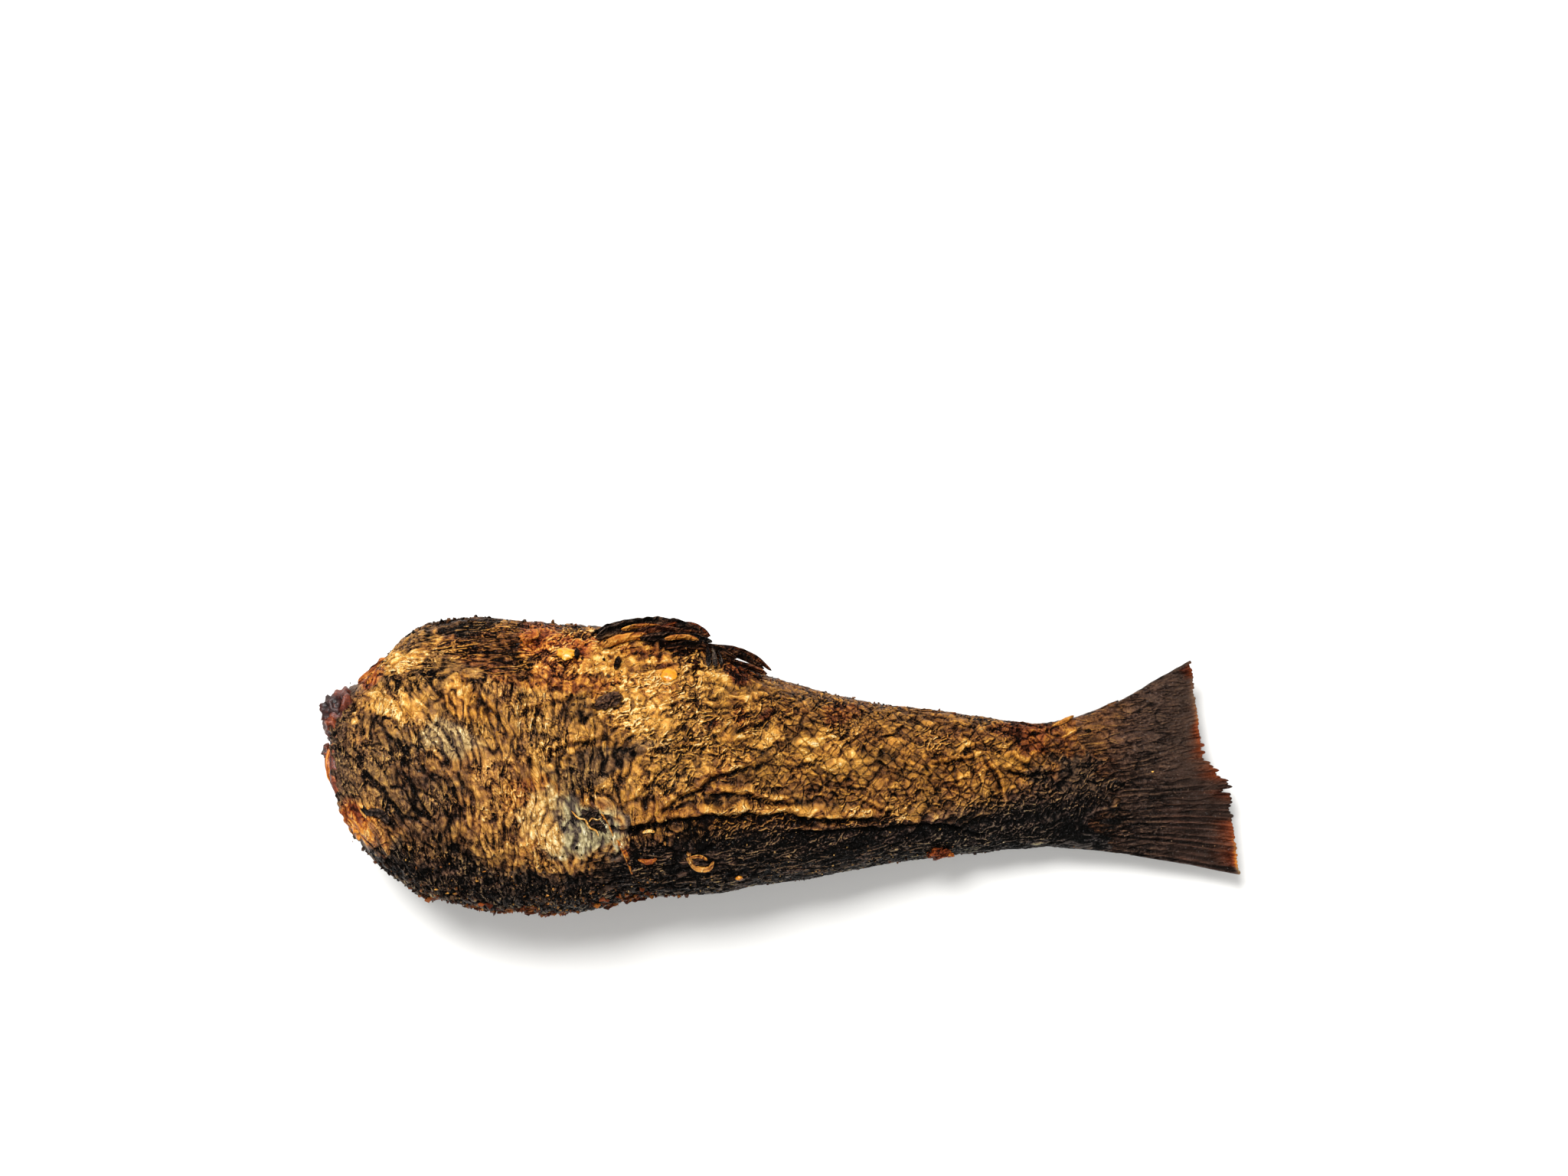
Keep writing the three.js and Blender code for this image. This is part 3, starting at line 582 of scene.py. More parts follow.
def place_fin(row, column_share):
    out = mix(FIN_ROOT, 1.0, np.clip((row - 2) / (FIN_ROWS - 4), 0, 1))
    turn = 2 * np.pi * column_share
    across = np.abs(1 - 2 * column_share)
    stepped = TRAIL_STEP * ease(across, TRAIL_STEP_FROM, TRAIL_STEP_TO)
    trail = TRAIL_BACK_LOBE - TRAIL_SLANT * across - stepped
    at_edge = np.stack([across * 78, np.zeros_like(across), np.zeros_like(across)], axis=1)
    bent = RAYS * (across + 0.006 * noise(at_edge, 7, 40))
    ray_ends = np.random.default_rng(12).uniform(-1, 1, 2 * RAYS + 3)[np.floor(2 * bent).astype(int) + 1]
    rounded = 1 - np.abs(2 * np.mod(2 * bent, 1) - 1) ** 2.5
    middle = bump(across - 0.44, 0.13)
    tooth = (0.35 + 1.5 * middle) * ray_ends + (0.35 + 0.9 * middle) * (rounded - 0.6)
    tooth += (0.4 + 0.9 * middle) * noise(at_edge, 5, 41)
    x = mix(FIN_START, trail + tooth * ease(out, 0.8, 1.0), out)
    belly_x = mix(FIN_START, TRAIL_BACK_LOBE - TRAIL_SLANT - TRAIL_STEP, out)
    back_x = mix(FIN_START, TRAIL_BACK_LOBE, out)
    share = np.where(row < 1, 0.0, 1.0)
    p, facing, up, _ = outer_surface(x, turn, share, belly_x, back_x)
    drift = RAYS * across + 0.35 * noise(p, (30, 9, 30), 42)
    strengths = np.random.default_rng(13).uniform(-0.6, 1, RAYS + 4)
    strength = 0.5 + 0.5 * strengths[np.floor(drift).astype(int) + 2]
    ray = np.cos(2 * np.pi * drift) * strength
    forked = np.cos(4 * np.pi * drift) * strength
    ray = mix(ray, 0.7 * forked, ease(out + 0.2 * across, RAY_FORKS_FROM + 0.1, 1.0) * mix(0.5, 1.0, across))
    cockle = 0.5 * noise(p, (18, 6, 20), 43) + 0.3 * noise(p, (6, 2.2, 5), 44)
    grain = noise(p, (3.5, 0.8, 2.5), 45)
    hair = noise(np.stack([74 * across, 70 * out, 0 * out], axis=1), (0.85, 9.0, 1.0), 47)
    emerging = ease(x, 106, 122)
    rise = emerging * (RAY_RIDGE * ray + 0.04 * grain + 0.05 * hair)
    rise = rise + 0.4 * cockle * emerging - 0.3 * (1 - emerging)
    closing = ease(FIN_ROWS - row, 0, 3)
    p = p + facing * (rise * closing * share)[:, None]
    top, under = curve_at(UPPER_SIDE, x), curve_at(UNDERSIDE, x)
    middle_z = (top + under) / 2
    p[:, 2] = np.where(share > 0, mix(middle_z, p[:, 2], closing), middle_z)
    wave = FIN_WAVE_HEIGHT * np.sin(across * FIN_WAVE_ACROSS + x * FIN_WAVE_ALONG)
    flat = ease(x, FIN_START, FIN_FLAT)
    p[:, 2] += share * flat * out * (wave + LOBE_CURL * across**2)
    p[row < 1] = p[row < 1].mean(axis=0)
    rough = noise(p, 9, 25) + 0.8 * noise(p, 4.2, 26) + 0.5 * noise(p, (4, 1.2, 4), 46)
    wrinkled = share * (1 - ease(x + 5 * rough, 112, 142))
    height, relief_shading_and_mottling, _, _ = skin_relief(p, up)
    p = p + facing * (0.5 * wrinkled * closing * height)[:, None]
    to_edge = trail + tooth - x + 1.6 * rough + 1.2 * ray
    rim_width = 3.0 + 7 * bump(across - 0.42, 0.2) + 8 * bump(across - 0.1, 0.16)
    glow = (1 - ease(to_edge, 0, rim_width)) * ease(noise(at_edge, 6, 49), -0.55, 0.1)
    brown = 1 - ease(x + 4 * rough - 0.15 * p[:, 1], 100, 122)
    back_lobe = ease(1 - across, 0.4, 0.8)
    tone = mix(0.22, 0.29, ease(across, 0.3, 0.6)) + 0.03 * rough
    tone = tone + mix(0.05, 0.13, back_lobe) * ray + 0.02 * grain + 0.03 * hair
    tone = mix(tone, 0.42 + 0.10 * rough + 0.08 * grain, brown * ease(p[:, 1], -4, 6))
    tone = mix(tone, 0.18 + 0.05 * rough, 0.8 * brown * (1 - ease(p[:, 1], -10, 2)))
    # The fin's root takes the skin relief's painted highlight and shade.
    tone = tone + 0.5 * wrinkled * relief_shading_and_mottling
    tone = mix(tone, 0.30 + 0.15 * ray + 0.12 * rough, 0.85 * glow)
    bright = np.maximum(bump(across - 0.06, 0.13), 0.5 * bump(across - 0.75, 0.2))
    bright = bump(trail + tooth - x, 1.1) * bright
    tone = mix(tone, 0.70, bright)
    streak = bump(distance_to([(117, 24.5), (124, 28), (131, 33)], p), 0.8)
    tone = mix(tone, 0.03, 0.85 * streak)
    banded = 0.5 * np.maximum(ray, 0) * back_lobe * ease(out, 0.55, 0.8)
    orange = np.clip(mix(0.18 + 0.10 * rough + banded, 0.9, glow), 0, 1)
    silver = 0.58 * (1 - glow) * (1 - 0.8 * brown)
    return p, plain_colours(tone, orange, silver, striped=0.8, lined=0.10 + 0.40 * wrinkled)


# The cut end: a dome of flaked flesh inside the lip of skin. Lumps are y, z, radius, height, tone and orange.
FLESH_ROWS, FLESH_COLUMNS, FLESH_SHARE = 110, 280, 0.93
FLESH_DOME, FLESH_DOME_SHARE, FLESH_INSET = 8.0, 0.88, 1.2
BACKBONE_SHARE, BACKBONE_OUT, BACKBONE_RIM = 0.17, 2.0, 0.14
FLESH_LUMPS = [
    (15, 27, 7.5, 8.0, 0.16, 0.1), (-10, 33, 4.5, 1.2, 0.4, 0.6), (19, 15, 4.2, 2.6, 0.3, 0.5),
    (-14, 17, 5, 1.4, 0.35, 0.4), (3, 38, 5, 1.5, 0.6, 1.0),
]


def place_flesh(row, column_share):
    share = np.where(row <= FLESH_ROWS - 2, row / (FLESH_ROWS - 2) * FLESH_SHARE, 0.0)
    share = np.where(row == FLESH_ROWS - 1, 0.85, share)
    turn = 2 * np.pi * column_share
    p, _, _, _ = outer_surface(np.full_like(share, SKIN_START), turn, share)
    q = p * np.array([0.0, 1.0, 1.0])
    rough = noise(q, 9, 50) + 0.6 * noise(q, 4, 51) + 0.4 * noise(q, 1.8, 52)
    # Flakes of muscle, about 3.4 mm deep each, nest in four uneven quarters round the backbone. Thin walls
    # part the quarters, and dark muscle lies between them under the skin of both flanks.
    heart = p[row < 1].mean(axis=0)
    pulled = warped(warped(q, 17, 7.0, 56), 6, 1.6, 57)
    deep, thick = np.abs(pulled[:, 1] - heart[1]), np.abs(pulled[:, 2] - heart[2])
    reach = np.hypot(deep - 13, 1.5 * (thick - 8)) / 3.4 + 0.8 * noise(q, 9, 53) + 0.3 * noise(q, 3.5, 54)
    flake = np.mod(reach, 1.0)
    broken = ease(noise(q, 6, 58) + 0.3 * rough, -0.45, 0.25)
    gap = (bump(flake, 0.11) + bump(flake - 1, 0.11)) * broken
    wall = 0.6 * np.maximum(bump(deep + 0.5 * rough, 0.6), bump(thick + 0.5 * rough, 0.5))
    dark_muscle = (1 - ease(deep - 0.55 * thick + 1.2 * rough, -1.5, 2.0)) * ease(thick, 8, 13)
    fibres = noise(q, 1.1, 55)
    out = FLESH_DOME * (1 - (share / FLESH_DOME_SHARE) ** 2) - FLESH_INSET
    # The gaps between flakes are painted darker, a painted shade, and each flake is painted lighter where it
    # stands higher, a painted highlight.
    tone = 0.52 + 0.20 * rough - 0.20 * gap + 0.12 * (flake - 0.5) * broken + 0.12 * fibres
    tone = mix(tone, 0.30 + 0.1 * rough, 0.8 * dark_muscle)
    tone = mix(tone, 0.70, 0.6 * wall)
    orange = 0.35 + 0.2 * rough
    out += 1.2 * rough * ease(share, 0.15, 0.3) + 0.25 * fibres
    out += broken * (flake - 0.5) - 0.9 * gap - 0.4 * wall
    for y, z, radius, height, lump_tone, lump_orange in FLESH_LUMPS:
        lump = bump(np.hypot(p[:, 1] - y, p[:, 2] - z) + 0.8 * rough, radius)
        out += height * lump
        tone, orange = mix(tone, lump_tone + 0.1 * rough, lump), mix(orange, lump_orange, lump)
    bone = 1 - ease(share + 0.03 * rough, BACKBONE_SHARE, BACKBONE_SHARE + 0.03)
    cup = 1 - ease(share, 0.0, BACKBONE_RIM)
    out += bone * (BACKBONE_OUT - 0.9 * cup)
    tone = mix(tone, 0.74 - 0.45 * cup + 0.14 * rough, bone)
    orange = mix(orange, 0.15, bone)
    dried = ease(share + 0.06 * rough, 0.62, 0.90)
    tone, orange = mix(tone, 0.24 + 0.1 * rough, dried), mix(orange, 0.25, dried)
    front = row <= FLESH_ROWS - 2
    p[:, 0] = np.where(front, p[:, 0] - out, SKIN_START + 2.5)
    p[row < 1, 0] = p[row < 1, 0].mean()
    return p, {"tone": tone, "orange": np.clip(orange, 0, 1)}


def lay(x, y, lift=0.0):
    """A point on the upper side of the skin at x and y, and the way it faces. Past an edge it stays level."""
    belly, back = curve_at(BELLY_EDGE, np.array([x]))[0], curve_at(BACK_EDGE, np.array([x]))[0]
    deep = np.clip((y - (belly + back) / 2) / ((belly - back) / 2), -1, 1)
    c = math.copysign(abs(deep) ** (FULLNESS / 2), deep)
    point, facing, _, _ = outer_surface(np.array([float(x)]), np.array([math.acos(c)]))
    return np.array([x, y, point[0, 2]]) + lift * facing[0], facing[0]


STRAND_STEP, STRAND_COLUMNS, STRAND_BLUNTNESS = 0.45, 18, 4.0


def strand(path, width, thick, tone, orange=0.2, silver=0.2, seed=0, roll=0.0, ragged=0.35):
    """A flattened, frayed strip along a path of points, drawn to a point at both ends."""
    path = np.array(path, float)
    run = np.concatenate([[0], np.cumsum(np.linalg.norm(np.diff(path, axis=0), axis=1))])
    rows = max(12, int(run[-1] / STRAND_STEP))

    def centre_at(t):
        return np.stack([curve_at(list(zip(run, path[:, k])), t * run[-1]) for k in range(3)], axis=1)

    def place(row, column_share):
        t = row / rows
        centre = centre_at(t)
        along = centre_at(np.minimum(t + 0.01, 1)) - centre_at(np.maximum(t - 0.01, 0))
        along /= np.linalg.norm(along, axis=1, keepdims=True)
        side = np.cross(along, (0, math.sin(roll), math.cos(roll)))
        side /= np.linalg.norm(side, axis=1, keepdims=True)
        normal = np.cross(side, along)
        angle = 2 * np.pi * column_share
        taper = np.maximum(1 - np.abs(2 * t - 1) ** STRAND_BLUNTNESS, 0) ** 0.6
        spine = np.stack([t * run[-1], np.cos(angle) * width, np.zeros_like(t)], axis=1)
        split = noise(spine, (7, 30, 9), seed + 60) + 0.6 * noise(spine, (2.2, 30, 9), seed + 61)
        frayed = 1 + ragged * split
        own = spine + 3.1 * seed
        fibre = noise(own, (7, 0.7, 9), 62) + 0.5 * noise(own, (2.5, 0.4, 9), 63)
        out = taper * frayed * width / 2 * np.cos(angle)
        high = taper * thick / 2 * (np.sin(angle) * (1 + 0.9 * fibre) + 0.6 * noise(centre, 3, seed + 64))
        p = centre + side * out[:, None] + normal * high[:, None]
        ends = (t <= 0) | (t >= 1)
        p = np.where(ends[:, None], centre, p)
        tones = tone + 0.05 + 0.30 * fibre + 0.10 * noise(p, 4, 65)
        oranges = np.clip(orange + 0.25 * noise(p, 5, 66) + 0.15 * fibre, 0, 1)
        return p, plain_colours(tones, oranges, silver)

    return shell("strand", rows, STRAND_COLUMNS, place)


def blob(x, y, long, wide, high, tone, orange=0.2, silver=0.1, tilt=0.0, seed=0, ragged=0.3, lift=0.0,
         at=None, creased=1.3):
    """A ragged lump or flake lying on the skin at x and y, or facing the cut at a given place."""
    a = math.radians(tilt)
    if at is None:
        centre, facing = lay(x, y, lift)
        east = np.array([math.cos(a), math.sin(a), 0.0])
    else:
        centre, facing = np.array(at, float), np.array([-1.0, 0.0, 0.15])
        east = np.array([0.0, math.cos(a), math.sin(a)])
    north = np.cross(facing, east)
    north /= np.linalg.norm(north)
    east = np.cross(north, facing)
    rows = max(10, int(max(long, wide) / 0.5))
    columns = 3 * rows

    def place(row, column_share):
        climb = np.pi * (row / rows - 0.5)
        angle = 2 * np.pi * column_share
        level = np.cos(climb)
        shape = np.stack([level * np.cos(angle), level * np.sin(angle), np.sin(climb)], axis=1)
        shape = np.where((np.abs(climb) > 1.5707)[:, None], [0, 0, 1] * np.sign(climb)[:, None], shape)
        big = noise(shape * 2.0 + 5 * seed, 1.0, 70)
        small = 1.6 * (0.35 - np.abs(noise(shape * np.array([long, wide, high]) / 2 + 5 * seed, creased, 71)))
        size = 1 + ragged * big + 0.6 * ragged * small
        q = shape * size[:, None]
        p = centre + east * (q[:, :1] * long / 2) + north * (q[:, 1:2] * wide / 2)
        p = p + facing * (q[:, 2:] * high / 2)
        tones = tone + 0.12 * big + 0.20 * small
        warm = np.clip(orange + 0.3 * noise(shape * 3.0 + 9 * seed, 1.0, 72), 0, 1)
        return p, plain_colours(tones, warm, silver)

    return shell("blob", rows, columns, place)


def crumbs(count, x_range, turn_range, size_range, tone, orange, silver, seed):
    """Loose grains stuck to the skin in clusters, most of them midway between two x and two turns."""
    rng = np.random.default_rng(seed)
    x = mix(*x_range, rng.triangular(-0.3, 0.5, 1.3, 2 * count))
    turn = mix(*turn_range, rng.triangular(-0.3, 0.5, 1.3, 2 * count))
    size = size_range[0] + (size_range[1] - size_range[0]) * rng.uniform(0, 1, count) ** 2
    p, facing, _ = skin_at(x, turn)
    crowding = noise(p, 9, seed) + 0.5 * noise(p, 3, seed) + rng.uniform(-0.4, 0.4, 2 * count)
    clustered = np.argsort(crowding)[count:]
    p, facing = p[clustered], facing[clustered]
    centres = (p + facing * (0.15 * size)[:, None] + CENTRING) * MM
    made = bmesh.new()
    for centre, radius in zip(centres, size * MM / 2):
        bmesh.ops.create_icosphere(made, subdivisions=1, radius=radius, matrix=Matrix.Translation(centre))
    mesh = bpy.data.meshes.new("crumbs")
    made.to_mesh(mesh)
    made.free()
    places = np.empty(len(mesh.vertices) * 3, np.float32)
    mesh.vertices.foreach_get("co", places)
    places = places.reshape(-1, 3)
    each = len(places) // count
    owner = np.repeat(np.arange(count), each)
    places = centres[owner] + (places - centres[owner]) * rng.uniform(0.4, 1.5, (len(places), 1))
    stretch = rng.uniform(0.45, 1.6, (count, 3))
    places = centres[owner] + (places - centres[owner]) * stretch[owner]
    mesh.vertices.foreach_set("co", places.astype(np.float32).ravel())
    shade = tone + rng.uniform(-0.20, 0.20, count)
    warm = np.clip(orange + rng.uniform(-0.25, 0.25, count), 0, 1)
    values = {"tone": shade[owner], "orange": warm[owner], "silver": np.full(len(owner), silver)}
    for key, value in values.items():
        mesh.attributes.new(key, "FLOAT", "POINT").data.foreach_set("value", value.astype(np.float32))
    return mesh


def linear(hex_colour, alpha=1.0):
    """An sRGB hex value as the linear colour that shaders take."""
    values = [int(hex_colour[i:i + 2], 16) / 255 for i in (1, 3, 5)]
    return (*(v / 12.92 if v <= 0.04045 else ((v + 0.055) / 1.055) ** 2.4 for v in values), alpha)


def node(tree, kind, links=None, stops=None, **settings):
    """Adds a node: its settings, the values or sockets that its inputs take, and a ramp's colour stops."""
    made = tree.nodes.new(kind)
    for key, value in settings.items():
        setattr(made, key, value)
    for key, value in (links or {}).items():
        if isinstance(value, bpy.types.NodeSocket):
            tree.links.new(value, made.inputs[key])
        else:
            made.inputs[key].default_value = value
    if stops:
        elements = made.color_ramp.elements
        while len(elements) < len(stops):
            elements.new(1.0)
        for element, (position, colour) in zip(elements, stops):
            element.position, element.color = position, linear(colour)
    return made


def new_material(name):
    material = bpy.data.materials.new(name)
    material.use_nodes = True
    tree = material.node_tree
    return material, tree, tree.nodes["Principled BSDF"]


BLACK_TO_GOLD = [(0.0, "#060403"), (0.13, "#140d06"), (0.28, "#38210b"), (0.43, "#6c4516"), (0.58, "#9b681f"),
                 (0.72, "#c4862b"), (0.87, "#e0ab52"), (1.0, "#f3d69a")]
BLACK_TO_SILVER = [(0.0, "#080807"), (0.2, "#201c1b"), (0.45, "#504740"), (0.7, "#8e8965"), (0.88, "#bcb58e"),
                   (1.0, "#e0dac0")]
BLACK_TO_ORANGE = [(0.0, "#0c0402"), (0.2, "#361207"), (0.42, "#82350c"), (0.6, "#bd6814"), (0.8, "#e29a35"),
                   (1.0, "#f6cc7a")]
BLACK_TO_FLESH = [(0.0, "#150806"), (0.2, "#3a1c18"), (0.4, "#703423"), (0.6, "#a86238"), (0.8, "#d29a64"),
                  (1.0, "#f0d3a6")]


def smoke_cured_skin():
    """Fish skin dried and browned in wood smoke: an uneven, oily brown, with painted highlights on its ridges
    and painted shade in its creases.
    """
    material, tree, shader = new_material("smoke_cured_skin")
    place = node(tree, "ShaderNodeTexCoord").outputs["Object"]
    tone, orange, silver, scaly, steep, striped, lined = (
        node(tree, "ShaderNodeAttribute", attribute_name=name).outputs["Fac"]
        for name in ("tone", "orange", "silver", "scaly", "steep", "striped", "lined")
    )
    scale_place = node(tree, "ShaderNodeAttribute", attribute_name="scale_place").outputs["Vector"]
    # Pores and dried slime, about 0.7 mm apart, and the flecks between them.
    grain = node(tree, "ShaderNodeTexNoise", {"Vector": place, "Scale": 1400, "Detail": 4, "Roughness": 0.65,
                                              "Distortion": 0.6}).outputs["Fac"]
    # Dried wrinkles about 1.5 mm apart: a net, steep ones behind the cut, and long ones along both edges.
    crinkled = []
    for shift in ((0, 0, 0), (0.00022, -0.00036, 0)):
        nets = []
        for bearing, size in ((35, (0.0036, 0.0024, 0.0028)), (-72, (0.0062, 0.0022, 0.0034)),
                              (4, (0.0090, 0.0019, 0.0021))):
            mapped = node(tree, "ShaderNodeMapping", {"Vector": place, "Location": shift, "Scale": size,
                                                      "Rotation": (0, 0, math.radians(bearing))},
                          vector_type="TEXTURE").outputs[0]
            nets.append(node(tree, "ShaderNodeTexNoise", {"Vector": mapped, "Scale": 1.0, "Detail": 2.0,
                                                          "Roughness": 0.5, "Lacunarity": 2.1, "Offset": 0.9,
                                                          "Gain": 1.6, "Distortion": 0.75},
                             noise_type="RIDGED_MULTIFRACTAL").outputs["Fac"])
        net = node(tree, "ShaderNodeMix", {"Factor": steep, 2: nets[0], 3: nets[1]}).outputs[0]
        crinkled.append(node(tree, "ShaderNodeMix", {"Factor": striped, 2: net, 3: nets[2]}).outputs[0])
    # Each wrinkle is a pale crest, a painted highlight that also drives the bump, beside a dark line sampled
    # a little towards the shaded side, a painted shade.
    crest = node(tree, "ShaderNodeMapRange", {"Value": crinkled[0], "From Min": 0.60, "From Max": 1.18,
                                              "To Min": -0.04, "To Max": 0.32}).outputs["Result"]
    crease = node(tree, "ShaderNodeMapRange", {"Value": crinkled[1], "From Min": 0.72, "From Max": 1.08,
                                               "To Min": 0.0, "To Max": -0.36}).outputs["Result"]
    # line is the wrinkles' painted highlight and shade, scaled by lined.
    line = node(tree, "ShaderNodeMath", {0: crest, 1: crease}, operation="ADD").outputs[0]
    line = node(tree, "ShaderNodeMath", {0: line, 1: lined}, operation="MULTIPLY").outputs[0]
    # Scales overlap at the tail root. One is one unit of scale_place, 4.7 mm from corner to corner.
    scale_edge = node(tree, "ShaderNodeTexVoronoi", {"Vector": scale_place, "Scale": 1.0, "Randomness": 0.45},
                      feature="DISTANCE_TO_EDGE", voronoi_dimensions="2D").outputs["Distance"]
    scale_own = node(tree, "ShaderNodeTexVoronoi", {"Vector": scale_place, "Scale": 1.0, "Randomness": 0.45},
                     voronoi_dimensions="2D").outputs["Color"]
    outline = node(tree, "ShaderNodeMapRange", {"Value": scale_edge, "From Min": 0.01, "From Max": 0.12,
                                                "To Min": -1.0, "To Max": 0.0})
    own = node(tree, "ShaderNodeSeparateColor", {"Color": scale_own}).outputs[0]
    own = node(tree, "ShaderNodeMath", {0: own, 1: -0.35}, operation="ADD").outputs[0]
    scale_shade = node(tree, "ShaderNodeMath", {0: own, 1: 0.5, 2: outline.outputs[0]},
                       operation="MULTIPLY_ADD").outputs[0]
    scale_shade = node(tree, "ShaderNodeMath", {0: scale_shade, 1: scaly}, operation="MULTIPLY").outputs[0]
    # Specks about 0.4 mm across and 6 mm apart: salt and fat on the black, also standing in for glints there
    # as painted highlights, and soot on the gold.
    speck = node(tree, "ShaderNodeTexVoronoi", {"Vector": place, "Scale": 560})
    chosen = node(tree, "ShaderNodeSeparateColor", {"Color": speck.outputs["Color"]}).outputs[0]
    chosen = node(tree, "ShaderNodeMath", {0: chosen, 1: 0.72}, operation="GREATER_THAN").outputs[0]
    away = speck.outputs["Distance"]
    spot = node(tree, "ShaderNodeMapRange", {"Value": away, "From Min": 0.08, "From Max": 0.16, "To Min": 1.0,
                                             "To Max": 0.0}).outputs["Result"]
    contrast = node(tree, "ShaderNodeMapRange", {"Value": tone, "From Min": 0.10, "From Max": 0.60,
                                                 "To Min": 0.45, "To Max": -0.50}).outputs["Result"]
    spot = node(tree, "ShaderNodeMath", {0: spot, 1: chosen}, operation="MULTIPLY").outputs[0]
    spot = node(tree, "ShaderNodeMath", {0: spot, 1: contrast}, operation="MULTIPLY").outputs[0]

    uneven = node(tree, "ShaderNodeMath", {0: grain, 1: 0.5}, operation="SUBTRACT").outputs[0]
    uneven = node(tree, "ShaderNodeMath", {0: uneven, 1: lined}, operation="MULTIPLY").outputs[0]
    fine = node(tree, "ShaderNodeMath", {0: uneven, 1: 1.0, 2: line}, operation="MULTIPLY_ADD").outputs[0]
    fine = node(tree, "ShaderNodeClamp", {"Value": fine, "Min": -0.46, "Max": 0.42}).outputs[0]
    shade = node(tree, "ShaderNodeMath", {0: tone, 1: fine}, operation="ADD").outputs[0]
    shade = node(tree, "ShaderNodeMath", {0: scale_shade, 1: 0.22, 2: shade},
                 operation="MULTIPLY_ADD").outputs[0]
    shade = node(tree, "ShaderNodeMath", {0: shade, 1: spot}, operation="ADD").outputs[0]
    gold = node(tree, "ShaderNodeValToRGB", {"Fac": shade}, BLACK_TO_GOLD).outputs["Color"]
    grey = node(tree, "ShaderNodeValToRGB", {"Fac": shade}, BLACK_TO_SILVER).outputs["Color"]
    rust = node(tree, "ShaderNodeValToRGB", {"Fac": shade}, BLACK_TO_ORANGE).outputs["Color"]
    warm = node(tree, "ShaderNodeMix", {"Factor": orange, 6: gold, 7: rust}, data_type="RGBA").outputs[2]
    colour = node(tree, "ShaderNodeMix", {"Factor": silver, 6: warm, 7: grey}, data_type="RGBA").outputs[2]
    tree.links.new(colour, shader.inputs["Base Color"])
    # The oily black shines more sharply than the dry gold.
    oiled = node(tree, "ShaderNodeMapRange", {"Value": shade, "From Min": 0.05, "From Max": 0.7,
                                              "To Min": 0.27, "To Max": 0.52}).outputs["Result"]
    tree.links.new(oiled, shader.inputs["Roughness"])
    scaled = node(tree, "ShaderNodeBump", {"Height": scale_shade, "Strength": 0.9, "Distance": 0.0003})
    low = node(tree, "ShaderNodeBump", {"Height": crest, "Strength": 1.0, "Distance": 0.0013,
                                        "Normal": scaled.outputs[0]})
    high = node(tree, "ShaderNodeBump", {"Height": grain, "Strength": 0.8, "Distance": 0.00045,
                                         "Normal": low.outputs[0]})
    tree.links.new(high.outputs[0], shader.inputs["Normal"])
    # Soot takes the light in, so the sheen goes with the tone, and wet pores glint all over.
    sheen = node(tree, "ShaderNodeMapRange", {"Value": shade, "From Min": 0.16, "From Max": 0.6,
                                              "To Min": 0.02, "To Max": 0.34}).outputs["Result"]
    wet = node(tree, "ShaderNodeMapRange", {"Value": grain, "From Min": 0.58, "From Max": 0.68, "To Min": 0.0,
                                            "To Max": 0.45}).outputs["Result"]
    sheen = node(tree, "ShaderNodeMath", {0: sheen, 1: wet}, operation="ADD").outputs[0]
    tree.links.new(sheen, shader.inputs["Specular IOR Level"])
    shader.inputs["IOR"].default_value = 1.46
    return material


def cured_flesh():
    """Hot-smoked muscle: firm, moist flakes with an oily sheen, purple-brown where the air has dried them."""
    material, tree, shader = new_material("cured_flesh")
    place = node(tree, "ShaderNodeTexCoord").outputs["Object"]
    tone, orange = (node(tree, "ShaderNodeAttribute", attribute_name=name).outputs["Fac"]
                    for name in ("tone", "orange"))
    # Muscle fibres about 0.5 mm thick.
    grain = node(tree, "ShaderNodeTexNoise", {"Vector": place, "Scale": 1900, "Detail": 3, "Roughness": 0.6})
    uneven = node(tree, "ShaderNodeMath", {0: grain.outputs["Fac"], 1: 0.5}, operation="SUBTRACT").outputs[0]
    shade = node(tree, "ShaderNodeMath", {0: uneven, 1: 0.6, 2: tone}, operation="MULTIPLY_ADD").outputs[0]
    flesh = node(tree, "ShaderNodeValToRGB", {"Fac": shade}, BLACK_TO_FLESH).outputs["Color"]
    rust = node(tree, "ShaderNodeValToRGB", {"Fac": shade}, BLACK_TO_ORANGE).outputs["Color"]
    colour = node(tree, "ShaderNodeMix", {"Factor": orange, 6: flesh, 7: rust}, data_type="RGBA").outputs[2]
    tree.links.new(colour, shader.inputs["Base Color"])
    bumped = node(tree, "ShaderNodeBump", {"Height": grain.outputs["Fac"], "Strength": 0.6,
                                           "Distance": 0.0003})
    tree.links.new(bumped.outputs[0], shader.inputs["Normal"])
    shader.inputs["Roughness"].default_value = 0.36
    shader.inputs["IOR"].default_value = 1.44
    return material


def set_fat():
    """A bead of fish oil set to a clear, glossy amber."""
    material, tree, shader = new_material("set_amber_fat")
    tone = node(tree, "ShaderNodeAttribute", attribute_name="tone").outputs["Fac"]
    colour = node(tree, "ShaderNodeValToRGB", {"Fac": tone},
                  [(0.0, "#5c2a06"), (0.35, "#a85c04"), (0.65, "#d8900c"), (1.0, "#ecc468")]).outputs["Color"]
    tree.links.new(colour, shader.inputs["Base Color"])
    shader.inputs["Roughness"].default_value = 0.34
    shader.inputs["IOR"].default_value = 1.47
    shader.inputs["Coat Weight"].default_value = 0.1
    return material


# The studio: each lamp's name, place and size in metres and power in watts, and how strong the light from all
# round is. The camera's place is in millimetres, and with its lens it gives the photograph's framing.
LAMPS = [("key", (-0.3, 0.6, 1.1), 0.46, 21.0), ("fill", (0.5, -0.5, 1.1), 1.2, 5.0)]
SKY_STRENGTH = 0.40
CAMERA_PLACE, SENSOR_WIDTH, LENS = (0.4, 57.9, 720.0), 36.0, 48.73


